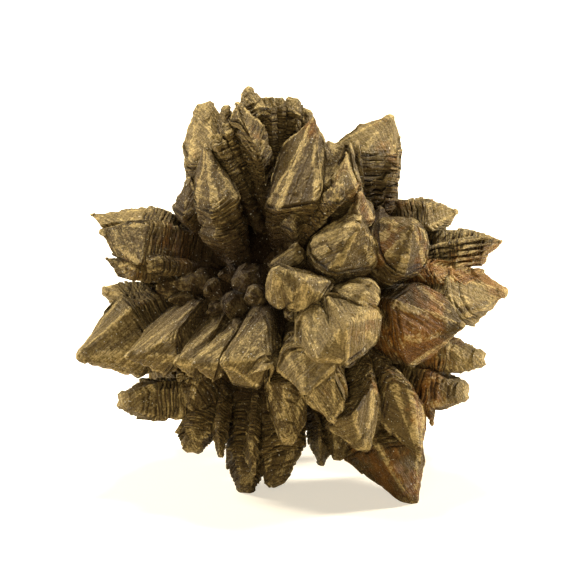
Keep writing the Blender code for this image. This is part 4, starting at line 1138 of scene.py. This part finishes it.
FLANK = mineral("layered flank", OLIVE, edge_wear_and_highlight=0.8, layers=0.8, rust=0.8, roughness=0.6)
ROOF = mineral("smooth roof", BROWN, edge_wear_and_highlight=0.7, layers=0.42, rust=0.6, roughness=0.55)
print("materials:", FLANK.name, "and", ROOF.name)

# %% [markdown]
# ## The three pieces
# One mesh for each part takes both materials, and each face has one of them. The union may cut a
# face where a flank meets a roof, so a face counts as roof if most of its corners say so.

# %% The pieces of the specimen, each with two finishes
ROOF_CORNERS = 1.2    # corners on a roof, and a little more than one


def on_roof(mesh):
    """True for each face that has more corners than that on a roof."""
    growth = np.empty(len(mesh.loops) * 4, np.float32)
    mesh.attributes["growth"].data.foreach_get("color", growth)
    starts = np.empty(len(mesh.polygons), np.int32)
    mesh.polygons.foreach_get("loop_start", starts)
    return np.add.reduceat(growth.reshape(-1, 4)[:, 2], starts) > ROOF_CORNERS


for part, mesh in meshes.items():
    specimen = bpy.data.objects.new("marcasite_" + part, mesh)
    bpy.context.scene.collection.objects.link(specimen)
    mesh.materials.clear()
    mesh.materials.append(FLANK)
    mesh.materials.append(ROOF)
    roof = on_roof(mesh)
    mesh.polygons.foreach_set("material_index", roof.astype(np.int32))
    mesh.polygons.foreach_set("use_smooth", np.zeros(len(mesh.polygons), bool))
    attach(specimen, "root")
    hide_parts("crystal_cluster")
    print(specimen.name, "has", int((~roof).sum()), "faces on flanks and", int(roof.sum()), "on roofs")

# %% [markdown]
# ## Floor, light and camera
# A mineral is shown on white. The floor is a plain pale sheet. Soft lights on the left, on the
# right and above stand a little behind the specimen and make its outer faces bright. The one in
# front is weak, so that the hollows stay dark.

# %% Floor
FLOOR_HALF = 4.0
FLOOR_GAP = 0.00002     # keeps the sheet just clear of the feet
FLOOR_GLOW = 0.6        # to the camera only, so that the sheet looks white and lights nothing

floor_mesh = bpy.data.meshes.new("floor")
corners = [(x * FLOOR_HALF, y * FLOOR_HALF, 0) for x, y in ((-1, -1), (1, -1), (1, 1), (-1, 1))]
floor_mesh.from_pydata(corners, [], [(0, 1, 2, 3)])
floor = bpy.data.objects.new("floor", floor_mesh)
bpy.context.scene.collection.objects.link(floor)
floor.location.z = -FLOOR_GAP
paper = bpy.data.materials.new("pale paper")
paper.use_nodes = True
sheet = paper.node_tree.nodes["Principled BSDF"].inputs
sheet["Base Color"].default_value = (0.72, 0.65, 0.52, 1)
sheet["Roughness"].default_value = 0.9
sheet["Emission Color"].default_value = (1, 0.92, 0.77, 1)
seen = place(paper.node_tree, "ShaderNodeLightPath").outputs["Is Camera Ray"]
glow = math_node(paper.node_tree, "MULTIPLY", seen, FLOOR_GLOW)
paper.node_tree.links.new(glow, sheet["Emission Strength"])
floor_mesh.materials.append(paper)
floor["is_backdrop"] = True

# %% Lights
LAMPLIGHT = (1, 0.97, 0.9)
AIMED_AT = Vector((0, 0, 0.02))
# place and width in metres, and power in watts
SOFTBOXES = {
    "left softbox": ((-0.36, 0.12, 0.2), 0.1, 3.0),
    "right softbox": ((0.36, 0.14, 0.16), 0.1, 3.6),
    "top softbox": ((0.0, 0.14, 0.45), 0.14, 4.4),
    "front softbox": ((-0.05, -0.45, 0.1), 0.2, 1.1),
}
for name, (spot, width, power) in SOFTBOXES.items():
    data = bpy.data.lights.new(name, "AREA")
    data.shape, data.size, data.energy, data.color = "DISK", width, power, LAMPLIGHT
    lamp = bpy.data.objects.new(name, data)
    lamp.location = spot
    lamp.rotation_euler = (AIMED_AT - lamp.location).to_track_quat("-Z", "Y").to_euler()
    bpy.context.scene.collection.objects.link(lamp)

# %% A white room, which the camera sees much brighter than it lights
ROOM_LIGHT, ROOM_SEEN = 0.05, 1.2
world = bpy.data.worlds.new("white room")
bpy.context.scene.world = world
world.use_nodes = True
room = world.node_tree
ray = place(room, "ShaderNodeLightPath").outputs["Is Camera Ray"]
backdrop = room.nodes["Background"].inputs
room.links.new(ramp(room, ray, 0.0, 1.0, ROOM_LIGHT, ROOM_SEEN), backdrop["Strength"])
backdrop["Color"].default_value = (1, 1, 1, 1)

# %% Camera at the angle that shows the best side
SCREEN_MM = 57.5        # how much of the show side's plane the picture takes in
DISTANCE = 0.7
AIM = (-0.25, 0.25)     # mm, in the show side's frame
SENSOR = 36
camera = bpy.data.objects.new("camera", bpy.data.cameras.new("camera"))
bpy.context.scene.collection.objects.link(camera)
camera.data.sensor_width = SENSOR
camera.data.lens = SENSOR * DISTANCE / (SCREEN_MM * MM)
camera.location = FRAME @ Vector((*AIM, DISTANCE / MM))
camera.rotation_euler = (math.radians(90 - LEAN_DEG), 0, 0)
camera.data.clip_start, camera.data.clip_end = 0.05, 20
bpy.context.scene.camera = camera
bpy.context.scene.view_settings.view_transform = "Standard"

# %% Size of the measured model and of what was built
boxes = {"cad": cad_box, "visual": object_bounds()}
size = {name: [list(corner) for corner in box] for name, box in boxes.items()}
print("size in mm", [[round(1000 * v, 2) for v in corner] for corner in size["visual"]])
